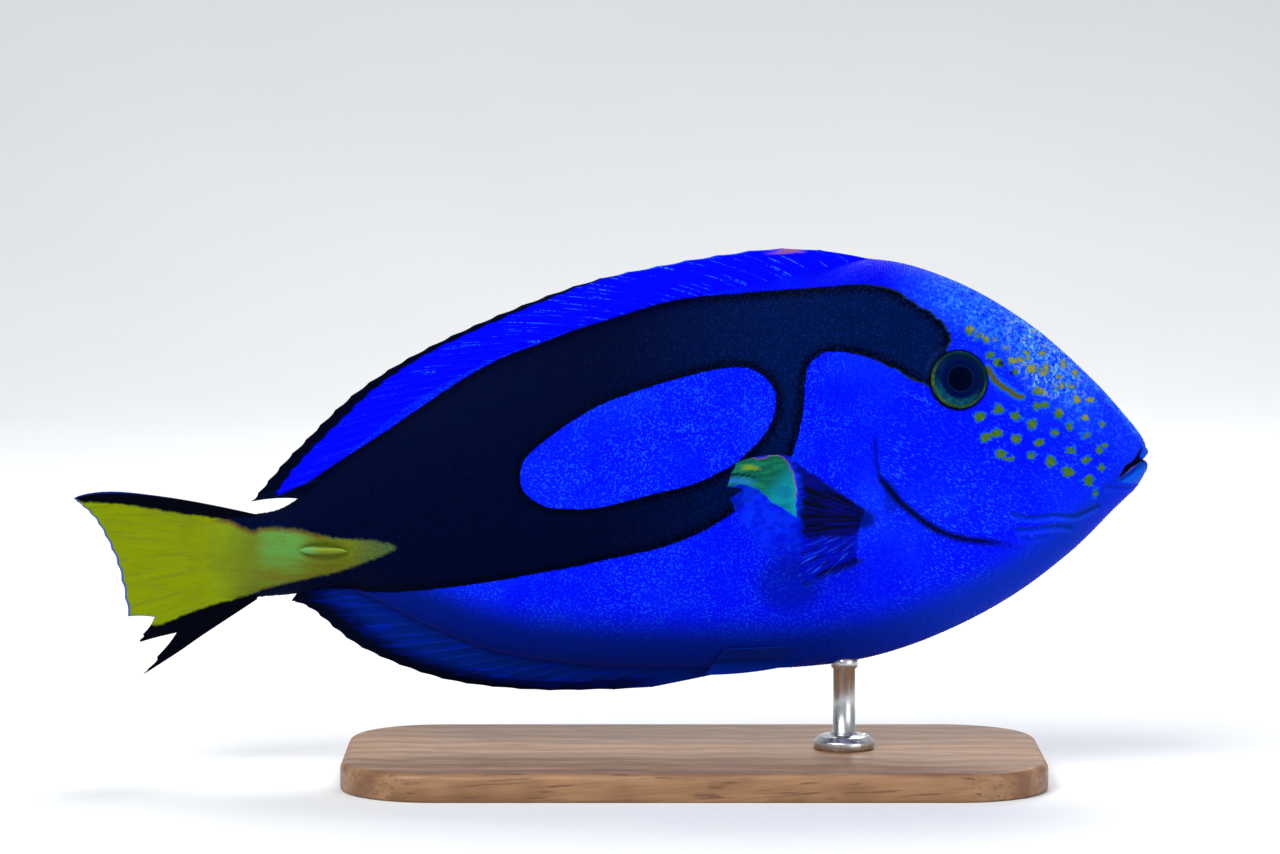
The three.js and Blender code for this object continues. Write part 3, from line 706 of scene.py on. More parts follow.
def tailPaint(r, x, z, fine):
    # yellow of the tail fin, green over the stalk and olive about the blade
    c = colours
    streaks = r.noise(330, stretch=(0.1, 1, 1.6))
    patches = r.noise(160, stretch=(0.7, 1, 1))
    tail = r.mix(r.step(x, -0.086, -0.076), c["yellow"], (0.11, 0.165, 0.008))
    green = r.step(x, -0.0775, -0.0725) * r.step(x, -0.061, -0.067)
    tail = r.layers(
        tail,
        (green * r.step(z, 0.044, 0.0475, 0.25), c["tailGreen"]),
        (r.step(x, -0.068, -0.063, 0, 0.65), c["olive"]),
        (r.step(x, -0.056, -0.049, 0, 0.8), (0.015, 0.07, 0.05)),
        (r.step(patches, 0.5, 0.66, 0, 0.35), c["olive"]),
    )
    brown = r.step(x, -0.083, -0.075) * r.step(x, -0.05, -0.058) * r.step(z, 0.0485, 0.0445)
    tail = r.mix(brown * r.step(streaks, 0.4, 0.6, 0.15, 0.75), tail, (0.13, 0.105, 0.008))
    tail = r.mix(r.step(streaks, 0.48, 0.7, 0, 0.25), tail, c["olive"])
    return r.mix(r.step(fine, 0.46, 0.62, 0, 0.3), tail, (0.13, 0.18, 0.012))


def skinPaint(r, fleck):
    # the colour of skin and scales alike, from the markings that both carry
    c = colours
    fine = r.noise(1500, 2, 0.6)
    wobble = (r.noise(900) - 0.5) * 0.9
    x, z = r.axes()
    blue = r.mix(r.step(r.noise(60), 0.45, 0.75, 0, 0.1), c["blue"], c["azure"])
    # slanting worm-like specks on the head, round dots at the snout, fine grain behind
    slant = r.mapped(Rotation=(0, -0.6, 0))
    specks = r.step(r.noise(2800, stretch=(0.4, 0.7, 1.2), where=slant), 0.56, 0.64)
    dots = r.step(r.cells(1400), 0.3, 0.2, 0, 0.7)
    specks = r.mix(r.step(x, 0.096, 0.104), specks, dots)
    grain = r.step(r.noise(2000, 2, 0.6), 0.52, 0.62)
    onHead = r.step(x, 0.048, 0.062)
    lively = specks * (onHead * 0.54) + grain * ((1.0 - onHead) * 0.55)
    lively = lively * r.step(r.noise(110), 0.36, 0.6, 0.3)
    loud = 1.0 - r.field("quiet") * 0.85
    blue = r.mix(lively * loud, blue, r.mix(onHead * 0.12, c["azure"], c["paleAzure"]))
    blue = r.mix(fleck * loud * 0.3, blue, c["azure"])
    # the nape is painted darker, painted shade that keeps the lamps' sheen from paling its deep plain blue
    napeShade = r.field("quiet") * r.step(z, 0.0985, 0.1055)
    blue = r.mix(napeShade * 0.9, blue, (0.0, 0.001, 0.6))
    # the brow is paler and busy with bright flecks
    brow = r.field("brow")
    mottle = r.noise(1150, 3, 0.65)
    blue = r.layers(
        blue,
        (brow * 0.8, c["brow"]),
        (brow * r.step(mottle, 0.52, 0.64, 0, 0.55), c["paleAzure"]),
        (brow * r.step(mottle, 0.46, 0.4, 0, 0.85), c["blue"]),
    )
    crown = r.step(x, 0.082, 0.089) * r.step(x, 0.104, 0.096)
    crown = crown * (r.step(z, 0.08, 0.084) * r.step(brow, 0.05, 0.35))
    bits = r.noise(1250, 3, 0.65, stretch=(1, 0.6, 0.6))
    blue = r.mix(crown * r.step(bits, 0.565, 0.61, 0, 0.85), blue, (0.16, 0.42, 0.38))
    olive = r.noise(980, 3, 0.7, stretch=(0.9, 0.6, 0.7))
    blue = r.mix(crown * r.step(olive, 0.565, 0.61, 0, 0.9), blue, (0.2, 0.24, 0.06))
    # the underside gets painted shade, deeper behind and lighter towards the head
    under = r.mix(r.step(x, 0.04, 0.078), c["bellyShade"], (0.0015, 0.024, 0.42))
    blue = r.layers(
        blue,
        (r.field("belly") * 0.92, under),
        (r.field("keel") * 0.2, (0.045, 0.03, 0.13)),
        # painted shadow of the pectoral fin and painted shade about its root
        (r.field("shade"), (0.0, 0.006, 0.22)),
    )
    stripe = r.field("stripe")
    dark = r.mix(r.step(stripe, 0.5, 2.2), c["black"], c["navy"])
    dark = r.layers(
        dark,
        (r.step(x, -0.005, 0.04) * r.step(stripe, 0.9, 2.8), (0.0, 0.004, 0.04)),
        (fleck * 0.01, c["azure"]),
        (grain * r.step(x, -0.01, 0.04, 0.008, 0.05), c["azure"]),
    )
    # the border is ragged and olive by the eye
    torn = (r.noise(480, 3, 0.6) - 0.5) * r.step(x, 0.052, 0.066, 0, 2.6)
    border = stripe + wobble * 0.5 + torn
    fringe = r.step(border, 0.5, 0.25) * r.step(x, 0.05, 0.066, 0, 0.8)
    dark = r.mix(fringe, dark, (0.01, 0.022, 0.006))
    paint = r.mix(r.step(border, -0.16, 0.16), blue, dark)
    wedge = r.field("wedge") + wobble
    tail = tailPaint(r, x, z, fine)
    rim = r.step(wedge, 1.3, 0.3) * r.step(z, 0.0475, 0.0505) * r.step(x, -0.058, -0.064)
    tail = r.mix(rim * 0.7, tail, (0.09, 0.03, 0.008))
    paint = r.mix(r.step(wedge, -0.5, 0.5), paint, tail)
    # ragged spots: bright hearts, dark green and azure edges
    drift = (r.noise(560) - 0.5) * 2.4
    ragged = (r.noise(1500, 3, 0.7) - 0.5) * 2.3
    spots = r.field("spots") + drift + ragged - brow * 0.1
    heart = r.mix(r.step(fine, 0.42, 0.6), c["spotGreen"], (0.08, 0.14, 0.012))
    heart = r.mix(r.step(brow, 0.08, 0.5), heart, c["spotGold"])
    paint = r.layers(
        paint,
        (r.step(spots, -0.42, -0.15, 0, 0.5), r.mix(0.5, c["azure"], c["teal"])),
        (r.step(spots, -0.12, 0.05), (0.004, 0.05, 0.03)),
        (r.step(spots, -0.02, 0.22), heart),
    )
    gold = r.field("gold") + wobble * 0.8
    paint = r.layers(
        paint,
        (r.step(gold, -0.8, -0.2, 0, 0.6), (0.004, 0.12, 0.42)),
        (r.step(gold, -0.2, 0.15), c["gold"]),
        (r.field("lips") * 0.85, c["lip"]),
        # painted shade in the gill slit
        (r.field("gill"), (0.0, 0.002, 0.003)),
        # a painted highlight just below the head's creases, and painted shade along every crease
        (r.field("sheen") * 0.35, c["azure"]),
        (r.field("creaseShade"), (0.0, 0.022, 0.06)),
        # painted shade in the open mouth
        (r.step(r.field("gape"), -0.12, 0.18), c["black"]),
    )
    return r.mix(r.field("lipEdge") * 0.75, paint, (0.24, 0.05, 0.05))


def skinMaterial():
    r = Recipe("wetSkin")
    fleck = r.step(r.cells(1250), 0.3, 0.05, 0.0, 0.8)
    paint = skinPaint(r, fleck)
    r.raised(r.noise(1400, 3, 0.6))
    return r.finish(paint, gloss=0.05, tint=blueSheen)


def scaleMaterial():
    r = Recipe("scales")
    tip = r.step(r.field("tip"), 0.35, 1.0)
    lively = r.step(r.field("shade"), 0.25, 1.0, 0.12, 0.95)
    paint = skinPaint(r, tip * lively)
    r.raised(r.noise(2600, 2, 0.6), 0.2, 0.0001)
    return r.finish(paint, gloss=0.05, tint=blueSheen)


skin = skinMaterial()
scales = scaleMaterial()
print("materials for skin and scales")


# the skin

def ringStations():
    # station of each ring, spaced by the table of spacings
    fine = np.linspace(0, snout, 4000)
    x = along(body["stations"], fine)[:, [0, 2]].mean(1)
    table = np.array(body["spacing"])
    density = 1 / np.interp(x, table[:, 0], table[:, 1])
    travel = np.hypot(np.gradient(x), np.gradient(along(body["stations"], fine)[:, 1]) * 0.25)
    count = np.cumsum(density * travel)
    count = count - count[0]
    rings = int(round(count[-1]))
    return np.interp(np.linspace(0, count[-1], rings + 1), count, fine)


# a sheath that thins out over the roots of the tail fin's rays
sheath = {"length": 6.6, "wave": 0.5, "middle": -16.9}


def sheathRing(start, f):
    # the tail's first ring drawn out over the fin by share f of the sheath's length
    ring = start.copy()
    wave = sheath["wave"] * np.cos(14 * np.pi * (start[:, 2] - start[:, 2].min()) / np.ptp(start[:, 2]))
    ring[:, 0] -= f * (sheath["length"] + wave)
    ring[:, 1] *= 1 - 0.95 * f ** 1.1
    ring[:, 1] += 1.1 * f * np.clip((-8 - ring[:, 2]) / 18.2, 0, 1) ** 2
    ring[:, 2] = sheath["middle"] + (ring[:, 2] - sheath["middle"]) * (1 + 0.10 * f)
    return ring


def buildSkin():
    stations = ringStations()
    n = body["columns"]
    grid = bodyPoint(stations[:, None], ringAngles(n)[None, :])
    # rings that close the nose
    end = grid[-1]
    middle = end.mean(0)
    nose = np.linspace(1, 0, body["noseRings"] + 1)[1:-1]
    domed = [middle + (end - middle) * f + np.array([0.55 * math.sqrt(1 - f * f), 0, 0]) for f in nose]
    # a sheath of skin that thins out over the roots of the tail fin's rays, and the rings that close it
    drawnOut = [sheathRing(grid[0], f) for f in np.linspace(1, 0, 8)[:-1]]
    heart = drawnOut[0].mean(0)
    flat = [heart + (drawnOut[0] - heart) * f for f in (0.1, 0.4, 0.7)]
    grid = np.concatenate([np.array(flat), np.array(drawnOut), grid, np.array(domed)])
    points = grid.reshape(-1, 3)
    lifted = points + normalsOf(grid).reshape(-1, 3) * relief(points)[:, None]
    rows = len(grid)
    lifted = np.vstack([lifted, lifted[:n].mean(0), lifted[-n:].mean(0)])
    tailPole, nosePole, last = rows * n, rows * n + 1, (rows - 1) * n
    faces = ringFaces(rows, n)
    for k in range(n):
        m = (k + 1) % n
        faces += [(tailPole, m, k), (nosePole, last + k, last + m)]
    mesh = meshFrom("skin", lifted, faces)
    addMarks(mesh, np.vstack([points, points[:n].mean(0), points[-n:].mean(0)]))
    unwrapSkin(mesh, rows, n)
    nodes = ("head", "lower_jaw", "gill_cover_right", "gill_cover_left", "trunk", "tail_stalk")
    placeFish("skin", mesh, nodes, [skin])
    form = lifted[:-2].reshape(grid.shape)
    return {"at": form, "out": normalsOf(form), "rows": rows}


def intsOf(items, key):
    out = np.empty(len(items), int)
    items.foreach_get(key, out)
    return out


def onBake(share):
    # a share of the UV map inside its margin
    return 0.01 + 0.98 * share


def unwrapSkin(mesh, rows, n):
    # along the body by its own lengthwise rows, and round it from the belly
    uv = mesh.uv_layers.new(name="OFBake")
    loops = intsOf(mesh.loops, "vertex_index")
    starts = intsOf(mesh.polygons, "loop_start")
    row = np.where(loops == rows * n, 0, np.minimum(loops // n, rows - 1))
    turned = ((loops % n) / n + 0.5) % 1.0
    face = np.repeat(np.arange(len(starts)), intsOf(mesh.polygons, "loop_total"))
    widest = np.maximum.reduceat(turned, starts)
    turned = np.where((widest[face] > 0.75) & (turned < 0.25), turned + 1, turned)
    coords = np.stack([onBake(row / (rows - 1)), onBake(np.clip(turned, 0, 1))], -1)
    uv.data.foreach_set("uv", coords.astype(np.float32).ravel())


skinForm = buildSkin()
print("skin")


# Geometry Nodes trees

class Tree(Maker):
    # a Geometry Nodes tree with named inputs
    def __init__(self, name, inputs):
        super().__init__(bpy.data.node_groups.new(name, "GeometryNodeTree"))
        panel = self.tree.interface
        for way in ("INPUT", "OUTPUT"):
            panel.new_socket(name="Geometry", in_out=way, socket_type="NodeSocketGeometry")
        self.ids = {}
        for label, kind, value in inputs:
            item = panel.new_socket(name=label, in_out="INPUT", socket_type="NodeSocket" + kind)
            if value is not None:
                item.default_value = value
            self.ids[label] = item.identifier
        self.start = self.tree.nodes.new("NodeGroupInput")
        self.end = self.tree.nodes.new("NodeGroupOutput")

    def given(self, label):
        return Wire(self, self.start.outputs[label])

    def named(self, name, kind="FLOAT"):
        return self.node("GeometryNodeInputNamedAttribute", {"Name": name}, data_type=kind)

    def stored(self, geometry, name, value, kind="FLOAT", domain="POINT"):
        values = {"Geometry": geometry, "Name": name, "Value": value}
        return self.node("GeometryNodeStoreNamedAttribute", values, data_type=kind, domain=domain)

    def close(self, geometry):
        real = self.node("GeometryNodeRealizeInstances", {"Geometry": geometry})
        values = {"Geometry": real, "Material": self.given("Material")}
        self.plug(self.end.inputs[0], self.node("GeometryNodeSetMaterial", values))


def grow(tree, name, source, values):
    # runs a tree over a mesh and keeps the result as a plain mesh
    obj = linked(name + "Source", source)
    modifier = obj.modifiers.new("grow", "NODES")
    modifier.node_group = tree.tree
    for label, value in values.items():
        modifier[tree.ids[label]] = value
    done = obj.evaluated_get(bpy.context.evaluated_depsgraph_get())
    mesh = bpy.data.meshes.new_from_object(done)
    mesh.name = name
    obj.modifiers.clear()
    bpy.data.objects.remove(obj)
    return mesh


# scales

scaleCoat = {
    "trunkPitch": [0.62, 0.60],   # lengthwise and round the body
    "headPitch": [0.52, 0.50],
    "headFrom": 54.0,
    "tailEnd": -81.5,
    "noseEnd": 114.3,
    "corners": 5,
    "spread": 0.86,               # half the width, in pitches
    "height": 0.30,
    "lean": 0.62,                 # how far the tip is drawn rearwards
    "sink": 0.10,
    "vary": 0.22,
    "seed": 11,
    "patch": 0.0015,              # a scale's share of the UV map
}


def scaleTree():
    tree = Tree("layScales", [
        ("Corners", "Int", 5), ("Height", "Float", 0.3), ("Lean", "Float", 0.6), ("Sink", "Float", 0.1),
        ("Vary", "Float", 0.2), ("Seed", "Int", 1), ("Material", "Material", None),
    ])
    height, vary, seed = (tree.given(label) for label in ("Height", "Vary", "Seed"))
    cone = tree.node("GeometryNodeMeshCone", {
        "Vertices": tree.given("Corners"), "Side Segments": 1, "Fill Segments": 1,
        "Radius Top": 0.0, "Radius Bottom": 1.0, "Depth": height,
    }, "Mesh", fill_type="NGON")
    spot = tree.node("GeometryNodeInputPosition")
    rise = tree.node("ShaderNodeSeparateXYZ", {0: spot}, 2) / height
    patch = tree.stored(tree.stored(cone, "tip", rise), "patch", spot, "FLOAT_VECTOR")
    shift = tree.node("ShaderNodeCombineXYZ", {0: rise * tree.given("Lean"), 2: tree.given("Sink") * -1.0})
    scale = tree.node("GeometryNodeSetPosition", {"Geometry": patch, "Offset": shift})
    turn = tree.node("FunctionNodeAxesToRotation", {
        "Primary Axis": tree.named("up", "FLOAT_VECTOR"),
        "Secondary Axis": tree.named("lie", "FLOAT_VECTOR"),
    }, primary_axis="Z", secondary_axis="X")
    luck = tree.node("FunctionNodeRandomValue", {2: 1.0 - vary, 3: vary + 1.0, "Seed": seed}, 1,
                     data_type="FLOAT")
    laid = tree.node("GeometryNodeInstanceOnPoints", {
        "Points": tree.given("Geometry"), "Instance": scale, "Rotation": turn,
        "Scale": tree.named("size") * luck,
    })
    shade = tree.node("FunctionNodeRandomValue", {2: 0.0, 3: 1.0, "Seed": seed + 5.0}, 1, data_type="FLOAT")
    toned = tree.stored(laid, "shade", shade, domain="INSTANCE")
    real = tree.node("GeometryNodeRealizeInstances", {"Geometry": toned})
    wide = scaleCoat["patch"]
    patchAt = tree.node("ShaderNodeVectorMath", {0: tree.named("patch", "FLOAT_VECTOR"),
                                                 1: (wide, wide, 0.0)},
                        operation="MULTIPLY")
    place = tree.node("ShaderNodeVectorMath", {0: tree.named("unwrap", "FLOAT_VECTOR"), 1: patchAt},
                      operation="ADD")
    tree.close(tree.stored(real, "OFBake", place, "FLOAT2", "CORNER"))
    return tree


def formAt(row, column):
    # place, outward and rearward direction on the skin between its rings
    at, out = skinForm["at"], skinForm["out"]
    r = np.clip(np.floor(row).astype(int), 0, len(at) - 2)
    k = np.floor(column).astype(int)
    f, g = (row - r)[:, None], (column - k)[:, None]

    def corner(grid, i, j):
        return grid[r + i, (k + j) % at.shape[1]]

    def blend(grid):
        near = corner(grid, 0, 0) * (1 - g) + corner(grid, 0, 1) * g
        far = corner(grid, 1, 0) * (1 - g) + corner(grid, 1, 1) * g
        return near * (1 - f) + far * f

    return blend(at), blend(out), corner(at, 0, 0) - corner(at, 1, 0)


def scaleBed(low, high, pitch):
    # roots of the scales of the right flank between two rings
    at = skinForm["at"]
    half = at.shape[1] // 2
    centre = at[:, : half + 1].mean(1)[:, 0]
    travel = lengthAlong(at[:, half // 2])
    first, last = travel[(centre >= low) & (centre < high)][[0, -1]]
    rowOf, columnOf = [], []
    for i, row in enumerate(np.interp(np.arange(first, last, pitch[0]), travel, np.arange(len(at)))):
        r = min(int(row), len(at) - 2)
        length = lengthAlong(at[r, : half + 1] * (1 - row + r) + at[r + 1, : half + 1] * (row - r))
        count = max(int(length[-1] / pitch[1]), 3)
        steps = (np.arange(count) + (0.5 if i % 2 else 0.0) + 0.25) / count
        columnOf.append(np.interp(steps[steps < 1] * length[-1], length, np.arange(half + 1)))
        rowOf.append(np.full(len(columnOf[-1]), row))
    return np.concatenate(rowOf), np.concatenate(columnOf)


def isBare(points):
    # places with no scales: eyes, nostrils, mouth, blades and the gill slit
    x, z = points[:, 0], points[:, 2]
    bare = np.hypot(x - eye["x"], z - eye["z"]) < eye["radius"] + 0.9
    for nx, nz, size in nostrils:
        bare |= np.hypot(x - nx, z - nz) < size + 0.55
    bare |= fromBlade(x, z) < 6.2
    reach, over = mouthFrame(points[:, [0, 2]])
    bare |= (reach > -0.02) & (over > -3.1) & (over < 1.9)
    bare |= gillShadow(points) > 0.55
    return bare


def buildScales():
    tree = scaleTree()
    rng = np.random.default_rng(scaleCoat["seed"])
    for part, slot, low, high, pitch in (
        ("trunk", "skin_navy", scaleCoat["tailEnd"], scaleCoat["headFrom"], scaleCoat["trunkPitch"]),
        ("head", "skin_blue", scaleCoat["headFrom"], scaleCoat["noseEnd"], scaleCoat["headPitch"]),
    ):
        row, column = scaleBed(low, high, pitch)
        row = row + rng.uniform(-0.12, 0.12, len(row))
        column = np.clip(column + rng.uniform(-0.12, 0.12, len(row)), 0, None)
        at, out, back = formAt(row, column)
        keep = ~isBare(at)
        at, out, back, row, column = (each[keep] for each in (at, out, back, row, column))
        lengthwise = onBake(row / (skinForm["rows"] - 1))
        around = onBake((column / skinForm["at"].shape[1] + 0.5) % 1)
        fields = {
            "up": out, "lie": back, "unwrap": np.stack([lengthwise, around, 0 * row], -1),
            "size": np.full(len(at), scaleCoat["spread"] * max(pitch)),
        }
        source = pathMesh(part + "Bed", at)
        for name, values in fields.items():
            addField(source, name, values)
        keys = ("corners", "height", "lean", "sink", "vary", "seed")
        values = {key.capitalize(): scaleCoat[key] for key in keys}
        mesh = grow(tree, part + "Scales", source, {**values, "Material": scales})
        addMarks(mesh)
        for spare in ("patch", *fields):
            if spare in mesh.attributes:
                mesh.attributes.remove(mesh.attributes[spare])
        placePair(part + "Scales", mesh)
        print("scales on one side of the", part, len(at))


buildScales()


# fins

def folded(u, lean):
    # ray tips slide back along the margin, most at mid fin, as a fin half folds
    return np.minimum(u + lean * np.sqrt(np.sin(np.pi * np.clip(u, 0, 1))), 1)


def row3(x, z, y=0.0):
    x, y, z = np.broadcast_arrays(*(np.asarray(v, float) for v in (x, y, z)))
    return np.stack([x, y, z], -1)


dorsal = {
    "rays": 29, "spines": 9, "lean": 0.12,
    "from": 57.0, "length": 120.5, "inside": -3, "bow": [0.5, 0, 1.4], "sway": 0.7, "waves": 9,
    "margin": [[55.6, 47.3], [49.3, 48.6], [42.3, 49.4], [34.4, 49.5], [25.8, 48.5], [12.3, 46.2],
               [-8, 41.4], [-34, 30.8], [-53, 19.7], [-67, 6.5], [-72.4, 0.6], [-77, -5]],
    "web": [1.1, 0.26], "ray": [0.64, 0.18], "notch": 0.6, "rows": 22,
}
anal = {
    "rays": 22, "spines": 3, "lean": 0.24,
    "from": 26.0, "length": 91.0, "inside": 3, "bow": [0, 0, -0.8], "sway": 0.6, "waves": 8,
    "margin": [[22, -42.1], [9.5, -44.7], [-2, -45.4], [-18.7, -45.4], [-36.5, -43.0], [-53.4, -36.4],
               [-64, -28.4], [-68.4, -26.6]],
    "web": [1.0, 0.26], "ray": [0.62, 0.18], "notch": 0.45, "rows": 18,
}
caudal = {
    "rays": 16, "spines": 0, "wholeRays": 11, "curl": 2.2,
    "top": [[-76, -8], [-107.6, -1.0], [-115.8, -5]], "rootBottom": -26.2,
    "trailing": [[-115.8, -5], [-111.1, -9.4], [-107.3, -16.7], [-105.6, -22.4], [-104.2, -30.5]],
    "lowerTips": [[-101, -34.4], [-101.7, -36.1], [-98, -39.3], [-100, -42], [-101, -43.1]],
    "tears": {10: 5.0, 12: 8.0}, "rise": [0.4, 0.7],
    "web": [1.3, 0.26], "ray": [0.60, 0.16], "notch": 0.4, "rows": 26,
}
pectoral = {
    "rays": 15, "spines": 1, "paired": True, "standOut": [19, 11], "bow": 12.5,
    "base": [[55.3, -5.8], [52.6, -16.2]],
    "outline": [[26.4, 6.8], [24.6, 1.6], [26.9, -4.6], [31, -10.6], [35.9, -16.2], [40.6, -19.6],
                [45.2, -19.8]],
    "tears": {2: 3.6},
    "web": [0.7, 0.24], "ray": [0.5, 0.15], "notch": 0.4, "rows": 26,
}
pelvic = {
    "rays": 4, "spines": 1, "paired": True,
    # x, z, how far both move from the first ray to the last, and distance from the flank
    "root": [44.5, -37.8, 1.2, 2.6, -1.6], "middle": [33, -41.2, 2, 6, 1.3],
    "tip": [20.4, -41.4, 4, 5.8, 0.7],
    "web": [0.7, 0.3], "ray": [0.42, 0.2], "notch": 0.3, "rows": 18,
}
webColumns = 8  # between two rays


def edgeForm(spec, column):
    # a fin from the back, column 0, or the belly, column 2, out to its margin
    def root(u):
        x = spec["from"] - spec["length"] * u
        return row3(x, edgeHeight(x, column) + spec["inside"])

    def tip(u):
        x, z = evenly(spec["margin"], folded(u, spec["lean"])).T
        return row3(x, z, spec["sway"] * np.sin(spec["waves"] * u))

    return root, lambda u: (root(u) + tip(u)) / 2 + np.array(spec["bow"]), tip


def caudalForm():
    rootAt, middleAt, _tip = (np.array(p) for p in caudal["top"])
    last, whole = caudal["rays"] - 1, caudal["wholeRays"] - 1

    def root(u):
        return row3(rootAt[0], rootAt[1] + (caudal["rootBottom"] - rootAt[1]) * u)

    def tip(u):
        ray = u * last
        upper = evenly(caudal["trailing"], np.clip(ray / whole, 0, 1) ** 1.45)
        lower = along([caudal["trailing"][-1]] + caudal["lowerTips"], np.clip(ray - whole, 0, 5))
        p = np.where((ray <= whole)[:, None], upper, lower)
        return row3(p[:, 0], p[:, 1], caudal["curl"] * u * u)

    def middle(u):
        even = root(u) * 0.4 + tip(u) * 0.6
        share = (np.maximum(1 - 2.5 * u, 0) ** 1.5)[:, None]
        return even * (1 - share) + row3(*middleAt) * share

    return root, middle, tip


def pectoralForm():
    top, bottom = (np.array(p) for p in pectoral["base"])
    most, less = pectoral["standOut"]

    def rootAt(u):
        return top + (bottom - top) * u[:, None]

    def root(u):
        x, z = rootAt(u).T
        return row3(x + 1, z, -flank(x, z) + 1.8)

    def tip(u):
        x, z = evenly(pectoral["outline"], u).T
        return row3(x, z, -flank(x, z) - (most - less * u))

    def middle(u):
        x, z = rootAt(u).T
        m = tip(u) * 0.45 + row3(x, z, -flank(x, z)) * 0.55
        return m + row3(0 * u, pectoral["bow"] * (1 - u) ** 2, -0.34 * (most - less * u))

    return root, middle, tip


def pelvicForm():
    def line(name):
        x, z, moveX, moveZ, off = pelvic[name]

        def at(u):
            px, pz = x + moveX * u, z + moveZ * u
            inside = np.maximum(pz, edgeHeight(px, 2) + 1.6)
            return row3(px, pz, -flank(px, inside) - off)

        return at

    return line("root"), line("middle"), line("tip")


def onFin(form, u, v):
    # points of the fin's middle sheet at pairs of u and v
    root, middle, tip = (f(np.ravel(u)) for f in form)
    v = np.ravel(v)[:, None]
    return root * (1 - v) ** 2 + 2 * v * (1 - v) * middle + v * v * tip


def finLengths(form, u):
    root, middle, tip = (f(u) for f in form)
    return np.linalg.norm(middle - root, axis=1) + np.linalg.norm(tip - middle, axis=1)


def finWidth(form, u):
    return lengthAlong(form[1](u))[-1]


def finWeb(name, spec, form):
    # the membrane, hung between the rays, as a closed thin shell
    rays, rows = spec["rays"], spec["rows"]
    columns = webColumns * (rays - 1) + 1
    u = np.linspace(0, 1, columns)
    ray = u * (rays - 1)
    between = np.abs(np.sin(np.pi * ray))
    cut = spec["notch"] * between ** 1.2
    for torn, deep in spec.get("tears", {}).items():
        cut = cut + deep * np.clip(1 - np.abs(ray - torn - 0.5) * 2.2, 0, 1) ** 0.7
    length = finLengths(form, u)
    whole = (1 - cut / length)[:, None]
    v = np.linspace(0, 1, rows)[None, :] * whole
    grid = onFin(form, np.repeat(u, rows), v.ravel()).reshape(columns, rows, 3)
    normal = np.cross(np.gradient(grid, axis=0), np.gradient(grid, axis=1))
    normal /= np.maximum(np.linalg.norm(normal, axis=-1, keepdims=True), 1e-9)
    thick = spec["web"][0] + (spec["web"][1] - spec["web"][0]) * v ** 0.7
    ribbed = 0.45 * (1 - (1 - between)[:, None] ** 2) * smoothStep(*spec.get("rise", (0, 0.2)), v)
    half = (thick * (1 - ribbed) / 2)[..., None]
    half[:, -1] *= 0.4
    points = np.concatenate([(grid + normal * half).reshape(-1, 3), (grid - normal * half).reshape(-1, 3)])
    front = np.arange(columns * rows).reshape(columns, rows)
    back = front + front.size
    faces = gridFaces(front.T) + gridFaces(back)
    for pair in ((back[:, 0], front[:, 0]), (front[:, -1], back[:, -1]), (front[0], back[0]),
                 (back[-1], front[-1])):
        faces += gridFaces(np.array(pair))
    mesh = meshFrom(name, points, faces)
    reach = v.ravel()
    fields = {
        "grain": finGrain(np.repeat(u, rows), reach * np.repeat(length, rows), finWidth(form, u)),
        "edge": ((1 - v / whole) * length[:, None]).ravel(), "reach": reach, "onRay": 0 * reach,
        "between": np.repeat(between, rows), "spread": np.repeat(u, rows),
    }
    for key, values in fields.items():
        addField(mesh, key, np.concatenate([values, values]))
    return mesh


def finGrain(u, along, width):
    # place on the fin laid flat: across the rays and along them, in metres
    return np.stack([u * width, along, 0 * u], -1) / 1000


# start, stop and share of the thickness of a whole ray, and of a soft ray's stem and its two branchings
wholeRay, stem, branch, twig = (0.0, 1.0, 1.0), (0.0, 0.66, 0.9), (0.42, 0.97, 0.62), (0.68, 0.93, 0.5)


def rayPaths(spec, form):
    # each ray's place, way it forks, start, stop, share of the thickness, and length
    rays = spec["rays"]
    gap = 1 / (rays - 1)
    lines = []
    torn = spec.get("tears", {})
    for i, length in enumerate(finLengths(form, np.linspace(0, 1, rays))):
        u = i * gap
        if i < spec["spines"] or i in (0, rays - 1):
            lines.append((u, [(0, 0)], *wholeRay, length))
            continue
        lines.append((u, [(0, 0)], *stem, length))
        for side, between in ((-1, i - 1), (1, i)):
            wide = side * gap * (0.12 if between in torn else 1.0)
            inner = [(branch[0], 0), (1.0, 0.20 * wide)]
            outer = [(branch[0], 0), (0.7, 0.09 * wide), (1.0, 0.36 * wide)]
            lines += [(u, inner, *branch, length), (u, outer, *twig, length)]
    return lines


def rayTree():
    tree = Tree("drawRays", [("Sides", "Int", 6), ("Material", "Material", None)])
    path = tree.node("GeometryNodeMeshToCurve", {"Mesh": tree.given("Geometry")})
    ring = tree.node("GeometryNodeCurvePrimitiveCircle", {"Resolution": tree.given("Sides"), "Radius": 1.0},
                     mode="RADIUS")
    tube = tree.node("GeometryNodeCurveToMesh", {
        "Curve": path, "Profile Curve": ring, "Scale": tree.named("thick"), "Fill Caps": True})
    tree.close(tree.node("GeometryNodeSetShadeSmooth", {"Geometry": tube, "Shade Smooth": True}))
    return tree


drawRays = rayTree()


